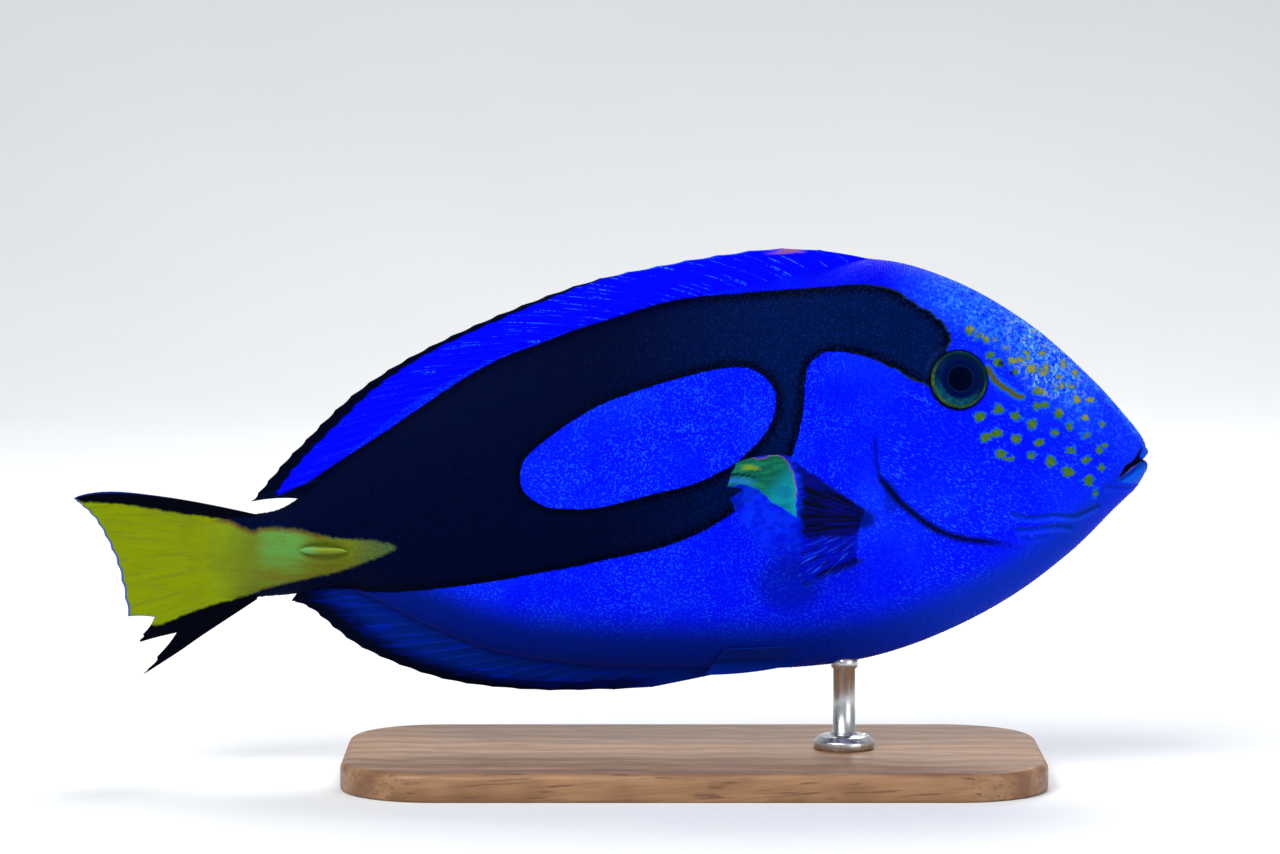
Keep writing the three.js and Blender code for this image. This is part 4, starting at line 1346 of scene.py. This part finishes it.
def finRays(name, spec, form, material):
    points, edges, count = [], [], 0
    fields = {key: [] for key in ("thick", "edge", "reach", "spread", "grain")}
    thickRoot, thickTip = spec["ray"]
    width = finWidth(form, np.linspace(0, 1, 40))
    for u, fork, start, stop, share, length in rayPaths(spec, form):
        steps = max(int(18 * (stop - start)), 6)
        v = np.linspace(start, stop, steps + 1)
        side = np.interp(v, *np.array(fork).T)
        points.append(onFin(form, np.clip(u + side, 0, 1), v))
        edges += [(count + k, count + k + 1) for k in range(steps)]
        count += steps + 1
        radius = (thickRoot + (thickTip - thickRoot) * v ** 0.75) * share
        if start > 0:
            radius[0] *= 0.6
        else:
            radius *= 0.2 + 0.8 * smoothStep(*spec.get("rise", (0, 0.2)), v)
        radius[-1] *= 0.55
        made = (radius, (1 - v) * length, v, u + side, finGrain(u + side, v * length, width))
        for key, values in zip(fields, made):
            fields[key].append(values)
    mesh = pathMesh(name + "Paths", np.vstack(points), edges)
    for key, values in fields.items():
        addField(mesh, key, np.concatenate(values))
    made = grow(drawRays, name, mesh, {"Sides": 6, "Material": material})
    addField(made, "onRay", np.ones(len(made.vertices)))
    addField(made, "between", np.zeros(len(made.vertices)))
    return made


def markFin(mesh):
    addMarks(mesh, names=("stripe", "wedge", "keel"))


def dressFin(name, spec, form, material, mark=markFin):
    # a fin, or a pair where it belongs to the right side
    web = finWeb(name + "Web", spec, form)
    rays = finRays(name + "Rays", spec, form, material)
    web.materials.append(material)
    for mesh in (web, rays):
        mark(mesh)
    if spec.get("paired"):
        placePair(name + "Web", web, name + "_fin")
        placePair(name + "Rays", rays)
    else:
        placeFish(name + "Web", web, (name + "_fin",))
        placeFish(name + "Rays", rays)
    print(name, "fin")


def acrossRays(r):
    return r.step(r.field("between"), 0.0, 0.75)


def finStreaks(r, scale, length, low, high, name="grain"):
    # thin broken lines that follow the rays
    fine = r.noise(scale, stretch=(1, 1 / length, 1), where=r.field(name, "Vector"))
    return r.step(fine, low, high)


def dorsalMaterial():
    r = Recipe("dorsalFin")
    c = colours
    x, z = r.axes()
    wave = r.noise(420)
    edge = r.field("edge") + (wave - 0.5) * 1.6
    paint = r.mix(acrossRays(r) * 0.2, (0.0, 0.0003, 0.86), (0.0, 0.0, 0.55))
    lit = finStreaks(r, 2100, 30, 0.625, 0.68)
    lit = lit * r.step(r.noise(1300), 0.42, 0.54) * r.step(x, -0.052, -0.035, 0.12, 0.7)
    paint = r.mix(lit, paint, (0.03, 0.22, 1.0))
    rim = r.step(r.field("edge"), 0.8, 0.3) * r.step(x, -0.01, 0.01)
    paint = r.mix(rim * 0.5, paint, c["azure"])
    width = r.step(x, 0.012, -0.03, 0.0, 2.7) + r.step(x, -0.034, -0.064, 0.0, 2.6)
    black = r.step(edge - width, 0.45, -0.45)
    paint = r.mix(black * r.step(x, 0.014, 0.0), paint, c["black"])
    paint = r.mix(r.step(r.field("stripe"), -0.3, 0.3), paint, c["black"])
    hind = r.step(z - x * 0.445, 0.0926, 0.0916) * r.step(x, -0.055, -0.06)
    paint = r.mix(hind, paint, c["black"])
    orange = r.step(x, 0.0325, 0.0365) * r.step(x, 0.0425, 0.0395) * r.step(edge, 3.6, 2.2)
    orange = orange * r.step(r.noise(900, stretch=(0.3, 1, 1)), 0.38, 0.56, 0.25, 0.8)
    paint = r.mix(orange, paint, (0.3, 0.11, 0.07))
    r.raised(r.noise(1100))
    return r.finish(paint, tint=blueSheen)


def analMaterial():
    r = Recipe("analFin")
    c = colours
    x, _z = r.axes()
    wave = r.noise(420)
    edge = r.field("edge") + (wave - 0.5) * 1.4
    inner = r.step(edge, 4.5, 11.5)
    paint = r.mix(inner, (0.0, 0.0008, 0.022), (0.0, 0.012, 0.17))
    lit = r.step(r.noise(1000, stretch=(0.12, 1, 1.4)), 0.5, 0.62) * r.step(inner, 0.0, 0.8, 0.18, 0.6)
    paint = r.mix(lit, paint, (0.0, 0.01, 0.38))
    paint = r.mix(acrossRays(r) * 0.3, paint, (0.0, 0.001, 0.05))
    outer = r.step(edge - r.step(x, 0.0, -0.04, 0.0, 2.2), 2.6, 1.2)
    paint = r.mix(outer * r.step(x, 0.0, -0.022), paint, c["black"])
    # the fin's front is painted in the belly's painted shade
    paint = r.mix(r.step(x, 0.003, 0.015, 0, 0.85), paint, c["bellyShade"])
    keel = r.field("keel") * 0.15
    paint = r.mix(keel, paint, (0.045, 0.03, 0.13))
    r.raised(r.noise(1100))
    return r.finish(paint, tint=blueSheen)


def caudalMaterial():
    r = Recipe("tailFin")
    c = colours
    x, z = r.axes()
    fine = r.noise(1500, 2, 0.6)
    wave = (r.noise(700) - 0.5) * 0.8
    yellow = tailPaint(r, x, z, fine)
    yellow = r.mix(acrossRays(r) * 0.45, yellow, (0.17, 0.21, 0.001))
    lines = finStreaks(r, 1300, 14, 0.52, 0.64) * r.step(x, -0.08, -0.088)
    yellow = r.mix(lines * 0.45, yellow, (0.11, 0.15, 0.01))
    wedge = r.field("wedge") + wave
    black = r.mix(r.field("onRay") * 0.2, c["black"], c["navy"])
    paint = r.mix(r.step(wedge, -0.35, 0.35), black, yellow)
    trailing = r.step(r.field("edge"), 0.8, 0.4)
    spread, reach = r.field("spread"), r.field("reach")
    upper = r.step(spread, 0.016, 0.006) * r.step(reach, 0.25, 0.7)
    rim = r.most(trailing * r.step(spread, 0.72, 0.66), upper * 0.3)
    paint = r.mix(rim * 0.75, paint, (0.004, 0.05, 0.55))
    r.raised(r.noise(1300))
    return r.finish(paint, rough=0.52, gloss=0.02)


def pectoralMaterial():
    r = Recipe("pectoralFin")
    c = colours
    x, z = r.axes()
    spread, reach = r.field("spread"), r.field("reach")
    wave = r.noise(700) - 0.5
    patch = r.field("patch") + wave * 1.1
    # dark upper part of the fan, blue lower part with thin lines
    streaks = finStreaks(r, 1100, 14, 0.46, 0.60, "fanned")
    thin = finStreaks(r, 2100, 14, 0.55, 0.62, "fanned")
    night = r.mix(streaks, (0.0, 0.0003, 0.01), (0.0, 0.0012, 0.16))
    lower = r.mix(thin, (0.0, 0.002, 0.6), (0.0, 0.0015, 0.1))
    lower = r.mix(finStreaks(r, 1700, 12, 0.6, 0.66, "fanned"), lower, c["azure"])
    night = r.mix(r.step(r.field("dark") + wave * 2.0, -0.7, 0.9), lower, night)
    # painted shade of the crease below the fin, carried over the fin's lower part
    fan = r.mix(r.field("creaseShadeOnFin"), night, c["black"])
    veil = r.mix(r.step(r.noise(500), 0.4, 0.6), (0.0, 0.01, 0.75), (0.002, 0.035, 0.95))
    # the veil's lower part is painted darker: painted shadow of the fin on the flank behind it
    veil = r.mix(r.step(z, 0.056, 0.046), veil, (0.0, 0.004, 0.3))
    level = r.noise(520, stretch=(0.3, 1, 1.6))
    teal = r.mix(r.step(level, 0.42, 0.62, 0, 0.7), (0.003, 0.23, 0.29), (0.002, 0.13, 0.26))
    teal = r.mix(r.step(x, 0.0372, 0.0392, 0, 0.7), teal, (0.006, 0.3, 0.32))
    leafy = r.step(x + z * -0.9, -0.0215, -0.0275)
    teal = r.mix(leafy, teal, r.mix(r.step(level, 0.42, 0.62), (0.003, 0.1, 0.06), (0.006, 0.17, 0.09)))
    teal = r.mix(r.step(r.field("gild") + wave, 0.35, 0.95), teal, (0.16, 0.3, 0.01))
    shadow = r.step(r.field("shadow"), 0.3, 0.9)
    teal = r.mix(r.field("gleam") * 0.8, teal, (0.02, 0.16, 0.62))
    teal = r.mix(shadow * 0.9, teal, (0.0, 0.004, 0.02))
    paint = r.mix(r.field("fan"), veil, fan)
    rim = r.step(patch, -0.42, -0.15) * r.step(patch, 0.3, 0.05)
    warm = r.most(r.step(z, 0.0682, 0.069), r.step(x, 0.0368, 0.0376) * r.step(z, 0.0615, 0.0635))
    paint = r.mix(r.step(patch, -0.25, 0.25), paint, teal)
    paint = r.mix(rim * (warm * 0.45), paint, (0.26, 0.1, 0.01))
    # the root and the lower margin melt into the flank
    inner = r.step(r.field("dark") + wave * 2.0, -0.9, 0.6)
    faint = r.most(thin, 0.3) * r.step(spread, 0.97, 0.8)
    solid = r.most(r.field("fan") * r.most(inner, faint) * r.field("under"), r.field("creaseShadeOnFin"))
    solid = r.most(solid, r.step(patch, -0.3, 0.1)) * r.step(reach, 0.02, 0.1)
    haze = (1.0 - r.field("fan")) * r.step(z, 0.05, 0.058, 0.06, 0.24)
    alpha = r.step(solid, 0.0, 1.0, haze + r.step(reach, 0.03, 0.16, 0.0, 0.12))
    clear = r.most(r.field("under"), 1.0 - r.field("fan"))
    alpha = alpha * r.step(clear, 0.0, 1.0, 0.15)
    r.raised(r.noise(1300))
    return r.finish(paint, gloss=0.08, tint=blueSheen, Alpha=alpha)


def pelvicMaterial():
    r = Recipe("pelvicFin")
    # the fin is painted in the dark blue of the belly's painted shade, streaked along its rays
    paint = r.mix(finStreaks(r, 900, 8, 0.45, 0.65), colours["bellyShade"], (0.0, 0.008, 0.14))
    r.raised(r.noise(1300))
    return r.finish(paint, tint=blueSheen)


pectoralMarks = {
    "patch": [
        [25.0, 2.6], [26.4, 3.6], [27.4, 4.4], [29.0, 5.1], [30.9, 4.7], [32.5, 4.5], [34.9, 5.5],
        [37.1, 5.1], [38.4, 3.2], [39.6, 0.6], [39.9, -3.0], [39.8, -7.9], [37.6, -6.4], [34.6, -4.4],
        [31.6, -2.0], [28.2, -0.9], [25.0, -1.6], [24.6, 1.0],
    ],
    "gild": [[28.6, 2.75], [32.0, 2.5]],
    "shadow": [[24.0, 0.9], [27.6, 1.3], [31.6, 0.5]],
    "fold": [[38.6, 8], [38.8, 4], [40.4, 1], [41.2, -3], [40.4, -7], [40.9, -10], [40.4, -14]],
    "dark": [
        [38.0, 4.8], [43.5, 1.4], [49.5, -2.5], [55.2, -6.3], [57.2, -8.2], [54.5, -10.4], [51.5, -11.9],
        [46, -12.4], [40.6, -11.8], [38.5, -6], [38.5, 0],
    ],
    "heart": [58.5, -8.8],
    # the crease below the fin, painted as shade where the fin lies over it
    "creaseShadeOnFin": [[53.6, -16.6], [50.5, -18.0], [47.2, -19.2], [44.6, -20.4]],
}


def markPectoral(mesh):
    seen = asSeen(coordsOf(mesh))
    addField(mesh, "patch", insideBy(seen, closedCurve(pectoralMarks["patch"])))
    addField(mesh, "gild", bump(distanceTo(seen, pectoralMarks["gild"]), 0, 0.75))
    addField(mesh, "shadow", bump(distanceTo(seen, pectoralMarks["shadow"]), 0, 0.42))
    below = distanceTo(seen + [0, 1.25], pectoralMarks["shadow"])
    addField(mesh, "gleam", bump(below, 0, 0.55) * (1 - smoothStep(29, 32, seen[:, 0])))
    fold = np.array(pectoralMarks["fold"])[::-1]
    foldX = np.interp(seen[:, 1], fold[:, 1], fold[:, 0])
    addField(mesh, "fan", smoothStep(-0.3, 0.5, seen[:, 0] - foldX))
    addField(mesh, "dark", insideBy(seen, closedCurve(pectoralMarks["dark"])))
    addField(mesh, "creaseShadeOnFin", 0.9 * bump(distanceTo(seen, pectoralMarks["creaseShadeOnFin"]), 0, 0.6))
    addField(mesh, "under", 1 - smoothStep(30.0, 31.4, seen @ [0.677, 1]))
    away = seen - pectoralMarks["heart"]
    turn = np.arctan2(away[:, 1], -away[:, 0])
    addField(mesh, "fanned", finGrain(turn, np.hypot(*away.T), 17))


def buildFins():
    dressFin("dorsal", dorsal, edgeForm(dorsal, 0), dorsalMaterial())
    dressFin("anal", anal, edgeForm(anal, 2), analMaterial())
    dressFin("tail", caudal, caudalForm(), caudalMaterial())
    dressFin("pelvic", pelvic, pelvicForm(), pelvicMaterial())
    dressFin("pectoral", pectoral, pectoralForm(), pectoralMaterial(), markPectoral)


buildFins()


# eyes, nostrils and blades

def flankNormal(x, z):
    step = 1.5
    alongX = (flank(x + step, z) - flank(x - step, z)) / (2 * step)
    alongZ = (flank(x, z + step) - flank(x, z - step)) / (2 * step)
    n = np.array([-float(alongX), -1.0, -float(alongZ)])
    return n / np.linalg.norm(n)


def lathePoints(profile, centre, normal, around):
    # turns a profile of radius and height about a normal of the right flank
    side = np.cross(normal, [0, 0, 1.0])
    side /= np.linalg.norm(side)
    up = np.cross(side, normal)
    angle = ringAngles(around)[:, None]
    ring = np.cos(angle) * side + np.sin(angle) * up
    return np.concatenate([centre + r * ring + h * normal for r, h in profile])


def outwardMesh(name, points, faces):
    # a closed mesh whose faces are turned outwards
    mesh = meshFrom(name, points, faces)
    work = bmesh.new()
    work.from_mesh(mesh)
    bmesh.ops.recalc_face_normals(work, faces=work.faces)
    work.to_mesh(mesh)
    work.free()
    return mesh


def eyeMaterial():
    # dark pupil with a faint ring of painted reflection from the lens, a teal crescent below and an olive
    # outer ring
    r = Recipe("eyeball")
    out = r.field("fromPupil") + (r.noise(600) - 0.5) * 0.05
    low = r.field("lowSide")
    streak = r.noise(1400, 3, 0.6)
    iris = r.mix(r.step(streak, 0.4, 0.62), (0.002, 0.035, 0.075), (0.004, 0.075, 0.11))
    iris = r.mix(r.step(low, 0.05, 0.75), (0.0, 0.006, 0.035), iris)
    olive = r.mix(r.step(streak, 0.42, 0.6), (0.006, 0.05, 0.02), (0.045, 0.085, 0.012))
    olive = r.mix(r.step(low, -0.5, 0.3), (0.002, 0.02, 0.02), olive)
    pupil = r.mix(r.step(out, 0.34, 0.6), (0.0, 0.0006, 0.007), (0.0, 0.003, 0.045))
    # a painted reflection of the lens, as a faint ring in the pupil
    lens = r.step(out, 0.41, 0.44) * r.step(out, 0.48, 0.45)
    pupil = r.mix(lens * 0.4, pupil, (0.004, 0.02, 0.07))
    paint = r.mix(r.step(out, 0.62, 0.72), pupil, iris)
    paint = r.mix(r.step(out, 0.84, 0.89), paint, olive)
    paint = r.mix(r.step(out, 0.945, 0.975), paint, (0.0, 0.002, 0.002))
    return r.finish(paint, rough=0.3, gloss=0.03, tint=blueSheen)


def buildEyes():
    radius, bulge, depth = eye["radius"], eye["bulge"], eye["depth"]
    centre = np.array([eye["x"], -float(flank(eye["x"], eye["z"])), eye["z"]])
    normal = flankNormal(eye["x"], eye["z"])
    # height of the front from the middle outwards, with a low step round the pupil
    share = np.concatenate([np.linspace(0.02, 1, 34), [1.0]])
    front = 0.1 + (1.26 * bulge - 0.1) * np.sqrt(np.clip(1 - share ** 2.1, 0, 1))
    front -= 0.16 * smoothStep(0.66, 0.74, share) * (1 - smoothStep(0.80, 0.98, share))
    back = [(f * radius, -depth * (1 - f ** 2) ** 0.6) for f in (0.97, 0.85, 0.6, 0.3, 0.05)]
    profile = [(s * radius, h) for s, h in zip(share[:-1], front[:-1])] + back
    points = lathePoints(profile, centre, normal, eye["around"])
    mesh = outwardMesh("eyeball", points, latheFaces(len(profile), eye["around"]))
    off = coordsOf(mesh) - centre
    flat = off - (off @ normal)[:, None] * normal
    addField(mesh, "fromPupil", np.linalg.norm(flat, axis=1) / radius)
    addField(mesh, "lowSide", -flat[:, 2] / radius - 0.35 * flat[:, 0] / radius)
    placePair("eye", mesh, "eye", [eyeMaterial()])


def rimMaterial():
    # skin of the lids and nostril rims, darker on their inner lip with painted shade
    r = Recipe("rimSkin")
    paint = skinPaint(r, r.step(r.cells(1250), 0.3, 0.05, 0.0, 0.8))
    paint = r.mix(r.field("inner") * r.field("innerShade"), paint, (0.0, 0.0012, 0.006))
    return r.finish(paint, tint=blueSheen)


def conformingRing(name, x, z, profile, around):
    # a fold of skin round a point of the right flank; profile holds radius and height
    angle = ringAngles(around)
    rows = []
    for r, h in profile:
        px, pz = x + r * np.cos(angle), z + r * np.sin(angle)
        rows.append(row3(px, pz, -flank(px, pz)) + flankNormal(x, z) * h)
    mesh = outwardMesh(name, np.concatenate(rows), ringFaces(len(profile), around, closed=True))
    addMarks(mesh)
    return mesh


def buildRims():
    material = rimMaterial()
    r = eye["radius"]
    lid = [
        (r - 0.9, -1.2), (r - 0.42, 0.1), (r - 0.2, 0.42), (r + 0.05, 0.6), (r + 0.35, 0.62),
        (r + 0.75, 0.5), (r + 1.2, 0.3), (r + 1.6, 0.06), (r + 1.9, -0.5), (r, -1.8),
    ]
    pieces = [("eyeRim", eye["x"], eye["z"], lid, 96, 0.9)]
    for letter, (x, z, size) in zip("AB", nostrils):
        ring = [
            (0.45 * size, -0.7), (0.72 * size, 0.05), (0.95 * size, 0.30), (size + 0.22, 0.33),
            (size + 0.5, 0.16), (size + 0.75, -0.25), (size, -0.9),
        ]
        pieces.append(("nostrilRim" + letter, x, z, ring, 40, 0.4))
    for name, x, z, profile, around, innerShade in pieces:
        mesh = conformingRing(name, x, z, profile, around)
        co = coordsOf(mesh)
        wide = profile[3][0]
        span = np.hypot(co[:, 0] - x, co[:, 2] - z)
        # the inner lip's painted shade: where it falls and how strong it is
        addField(mesh, "inner", 1 - smoothStep(wide - 0.25, wide + 0.45, span))
        addField(mesh, "innerShade", np.full(len(co), innerShade))
        placePair(name, mesh, materials=[material])


def bladeMaterial():
    r = Recipe("blade")
    paint = r.mix(r.step(r.noise(500, stretch=(0.2, 1, 1)), 0.4, 0.65), (0.13, 0.25, 0.02),
                  (0.21, 0.26, 0.01))
    x, z = r.axes()
    paint = r.layers(
        paint,
        (r.step(r.field("ridge"), 0.45, 0.0), (0.07, 0.1, 0.01)),
        (r.step(z, 0.04935, 0.04875, 0, 0.6), (0.12, 0.11, 0.008)),
        (r.step(x, -0.0615, -0.065, 0, 0.75), (0.09, 0.3, 0.09)),
    )
    return r.finish(paint, rough=0.45, gloss=0.08)


def buildBlades():
    # a flattened spine in its groove, pointing forwards
    high, cx, cz = scalpel["height"], scalpel["x"], scalpel["z"]
    steps, around = 28, 16
    s = np.linspace(-0.5, 0.5, steps)
    tall = high / 2 * np.clip(1 - (np.abs(s * 2) ** 2.2), 0, 1) ** 0.6 * (1 - 0.25 * (s + 0.5))
    tall = np.maximum(tall, 0.06)[:, None]
    x = (cx + s * scalpel["length"])[:, None]
    z = cz + 0.15 + 0.1 * np.clip(1 - (2 * s) ** 2, 0, 1)[:, None]
    angle = ringAngles(around)
    ridge = np.abs(np.cos(angle)) ** 0.8 * np.sign(np.cos(angle))
    deep = 0.75 * tall / (high / 2) + 0.1
    y = -flank(x, z) - scalpel["proud"] + 0.75 - deep * np.sin(angle) * 0.9 - 0.35
    points = row3(x, z + ridge * tall, y).reshape(-1, 3)
    mesh = outwardMesh("blade", points, latheFaces(steps, around))
    addField(mesh, "ridge", 1 - np.abs(coordsOf(mesh)[:, 2] - cz) / (high / 2))
    placePair("blade", mesh, "scalpel", [bladeMaterial()])


buildEyes()
buildRims()
buildBlades()
print("eyes, rims and blades")


# display stand

stand = {
    "baseX": 18.0, "length": 150.0, "width": 74.0, "height": 6.0, "corner": 20.0,
    "topRound": 1.6, "footRound": 0.7,
    "rodX": 50.4, "rodRadius": 2.4, "rodAround": 64, "collar": 6.5, "collarHeight": 2.6, "gap": 0.3,
    "screws": 3, "screwCircle": 4.25, "screwRadius": 0.75,
}


def woodMaterial():
    r = Recipe("oiledWood")
    at = r.mapped(Rotation=(0.12, 0.05, 0.05), Location=(0.03, 0.21, 0.11))
    rings = r.node("ShaderNodeTexWave", {"Scale": 42, "Distortion": 5.0, "Detail": 3, "Detail Scale": 1.2,
                                         "Vector": at}, "Fac", wave_type="RINGS", rings_direction="X")
    grain = r.noise(900, 4, 0.6, stretch=(0.05, 1, 1), where=at)
    pores = r.step(r.noise(1800, stretch=(0.035, 1, 1), where=at), 0.6, 0.68)
    paint = r.layers(r.mix(rings, (0.2, 0.095, 0.042), (0.33, 0.175, 0.082)),
                     (r.step(grain, 0.35, 0.7, 0, 0.5), (0.15, 0.065, 0.028)),
                     (pores * 0.6, (0.07, 0.03, 0.014)))
    r.raised(grain - pores, 0.2)
    return r.finish(paint, r.step(grain, 0.3, 0.7, 0.36, 0.5), 0.4)


def steelMaterial():
    r = Recipe("brushedSteel")
    brush = r.noise(2200, 3, 0.6, stretch=(1, 1, 0.03))
    tone = r.mix(brush, (0.46, 0.47, 0.48), (0.62, 0.63, 0.64))
    return r.finish(tone, r.step(brush, 0.3, 0.7, 0.24, 0.38), 0.5, Metallic=1.0)


def roundedPlate(inset, steps=14):
    # outline of the base moved inwards
    a, b = stand["length"] / 2 - inset, stand["width"] / 2 - inset
    corner = stand["corner"] - inset
    out = []
    for start, cx, cy in ((-90, a, -b), (0, a, b), (90, -a, b), (180, -a, -b)):
        mx, my = cx - math.copysign(corner, cx), cy - math.copysign(corner, cy)
        for t in np.radians(np.linspace(start, start + 90, steps)):
            out.append((mx + corner * math.cos(t), my + corner * math.sin(t)))
    return np.array(out)


def buildBase():
    top, foot, high = stand["topRound"], stand["footRound"], stand["height"]
    levels = [(foot * (1 - math.sin(t)), foot * (1 - math.cos(t))) for t in np.linspace(0, math.pi / 2, 5)]
    levels += [(top * (1 - math.cos(t)), high - top * (1 - math.sin(t)))
               for t in np.linspace(0, math.pi / 2, 8)]
    rings = [roundedPlate(inset) for inset, _z in levels]
    points = [(x + stand["baseX"], y, z) for ring, (_i, z) in zip(rings, levels) for x, y in ring]
    mesh = outwardMesh("base", np.array(points) * mm, latheFaces(len(levels), len(rings[0])))
    # the two large faces stay flat, the rounded edges smooth
    for face in mesh.polygons:
        face.use_smooth = len(face.vertices) <= 4
    addPiece("standBase", mesh, ("stand_base",), [woodMaterial()])


def buildRod():
    foot = stand["height"] + stand["gap"]
    hull = fish["swimHeight"] + float(edgeHeight(stand["rodX"], 2))
    rad, collar = stand["rodRadius"], stand["collar"]
    top = foot + stand["collarHeight"]
    profile = [
        (collar - 0.3, stand["height"]), (collar, foot), (collar, foot + 1.35), (collar - 0.12, foot + 1.6),
        (collar - 0.45, foot + 1.8), (collar * 0.8 + 0.3, top - 0.2), (collar * 0.8, top),
        (rad + 0.75, top), (rad + 0.45, top + 0.25), (rad + 0.3, top + 0.6), (rad, top + 0.75),
        (rad, hull - 1.4), (rad + 0.5, hull - 1.1), (rad + 0.5, hull + 0.9), (rad - 0.2, hull + 1.2),
    ]
    angle = ringAngles(stand["rodAround"])
    rows = [row3(stand["rodX"] + r * np.cos(angle), h, r * np.sin(angle)) for r, h in profile]
    mesh = outwardMesh("rod", np.concatenate(rows) * mm, latheFaces(len(profile), stand["rodAround"]))
    addPiece("standRod", mesh, ("stand_rod",), [steelMaterial()])


def screwTree():
    tree = Tree("setScrews", [
        ("Count", "Int", 3), ("Circle", "Float", 4.2), ("Radius", "Float", 0.75), ("Height", "Float", 9.0),
        ("Material", "Material", None),
    ])
    ring = tree.node("GeometryNodeMeshCircle", {
        "Vertices": tree.given("Count"), "Radius": tree.given("Circle")}, fill_type="NONE")
    lift = tree.node("ShaderNodeCombineXYZ", {2: tree.given("Height")})
    lifted = tree.node("GeometryNodeSetPosition", {"Geometry": ring, "Offset": lift})
    head = tree.node("GeometryNodeMeshUVSphere", {
        "Segments": 18, "Rings": 9, "Radius": tree.given("Radius")})
    low = tree.node("GeometryNodeTransform", {"Geometry": head, "Scale": (1, 1, 0.45)})
    tree.close(tree.node("GeometryNodeInstanceOnPoints", {"Points": lifted, "Instance": low}))
    return tree


def buildScrews():
    mesh = grow(screwTree(), "collarScrews", pathMesh("screwSeed", [(0, 0, 0)]), {
        "Count": stand["screws"], "Circle": stand["screwCircle"], "Radius": stand["screwRadius"],
        "Height": stand["height"] + stand["gap"] + stand["collarHeight"] + 0.02,
        "Material": bpy.data.materials["brushedSteel"],
    })
    setCoords(mesh, (coordsOf(mesh) + [stand["rodX"], 0, 0]) * mm)
    mesh.polygons.foreach_set("use_smooth", [True] * len(mesh.polygons))
    addPiece("collarScrews", mesh)


buildBase()
buildRod()
buildScrews()
print("stand")


# stage and camera

studio = {
    # the floor and the backdrop, in metres
    "front": -2.2, "back": 0.9, "sweep": 0.6, "halfWidth": 2.6, "top": 2.4,
    "sky": (0.93, 0.96, 1.0, 1), "skyPower": 0.45,
    # name, place, aim, size and power
    "lights": [
        ("key", (-0.5, -0.75, 1.05), (0.0, 0, 0.07), 0.7, 16),
        ("fill", (0.9, -0.9, 0.35), (0.02, 0, 0.07), 0.9, 6),
        ("rim", (0.2, 0.7, 0.9), (0.0, 0, 0.08), 0.5, 9),
    ],
}


def buildCamera():
    camera = linked("camera", bpy.data.cameras.new("camera"))
    camera.data.sensor_width = view["sensor"]
    camera.data.lens = view["sensor"] * view["distance"] / view["frameWidth"]
    camera.data.clip_end = 20
    target = Vector((view["aimX"], 0, view["aimZ"] + fish["swimHeight"])) * mm
    tilt = math.radians(view["elevation"])
    back = Vector((0, -math.cos(tilt), math.sin(tilt)))
    camera.location = target + back * view["distance"] * mm
    camera.rotation_euler = (target - camera.location).to_track_quat("-Z", "Y").to_euler()
    bpy.context.scene.camera = camera


def buildLight(name, place, aim, size, power):
    data = bpy.data.lights.new(name, "AREA")
    data.size = size
    data.energy = power
    lamp = linked(name, data)
    lamp.location = place
    lamp.rotation_euler = (Vector(aim) - Vector(place)).to_track_quat("-Z", "Y").to_euler()


def buildStage():
    # a floor that sweeps up behind into a backdrop
    back, sweep, wide = studio["back"], studio["sweep"], studio["halfWidth"]
    profile = [(studio["front"], 0.0), (back, 0.0)]
    profile += [(back + sweep * math.sin(a), sweep - sweep * math.cos(a)) for a in np.linspace(0.1, 1.5, 12)]
    profile.append((back + sweep + 0.02, studio["top"]))
    points = [(x, y, z) for y, z in profile for x in (-wide, wide)]
    mesh = meshFrom("floor", points, gridFaces(np.arange(len(points)).reshape(-1, 2)))
    floor = linked("floor", mesh)
    r = Recipe("paleFloor")
    tone = r.mix(r.noise(6, 3), (0.7, 0.71, 0.72), (0.76, 0.765, 0.77))
    mesh.materials.append(r.finish(tone, 0.9))
    for light in studio["lights"]:
        buildLight(*light)
    world = bpy.data.worlds.new("studio")
    world.use_nodes = True
    backdrop = world.node_tree.nodes["Background"]
    backdrop.inputs[0].default_value = studio["sky"]
    backdrop.inputs[1].default_value = studio["skyPower"]
    bpy.context.scene.world = world
    bpy.context.scene.view_settings.view_transform = "Standard"


buildCamera()
buildStage()
print("camera and stage")
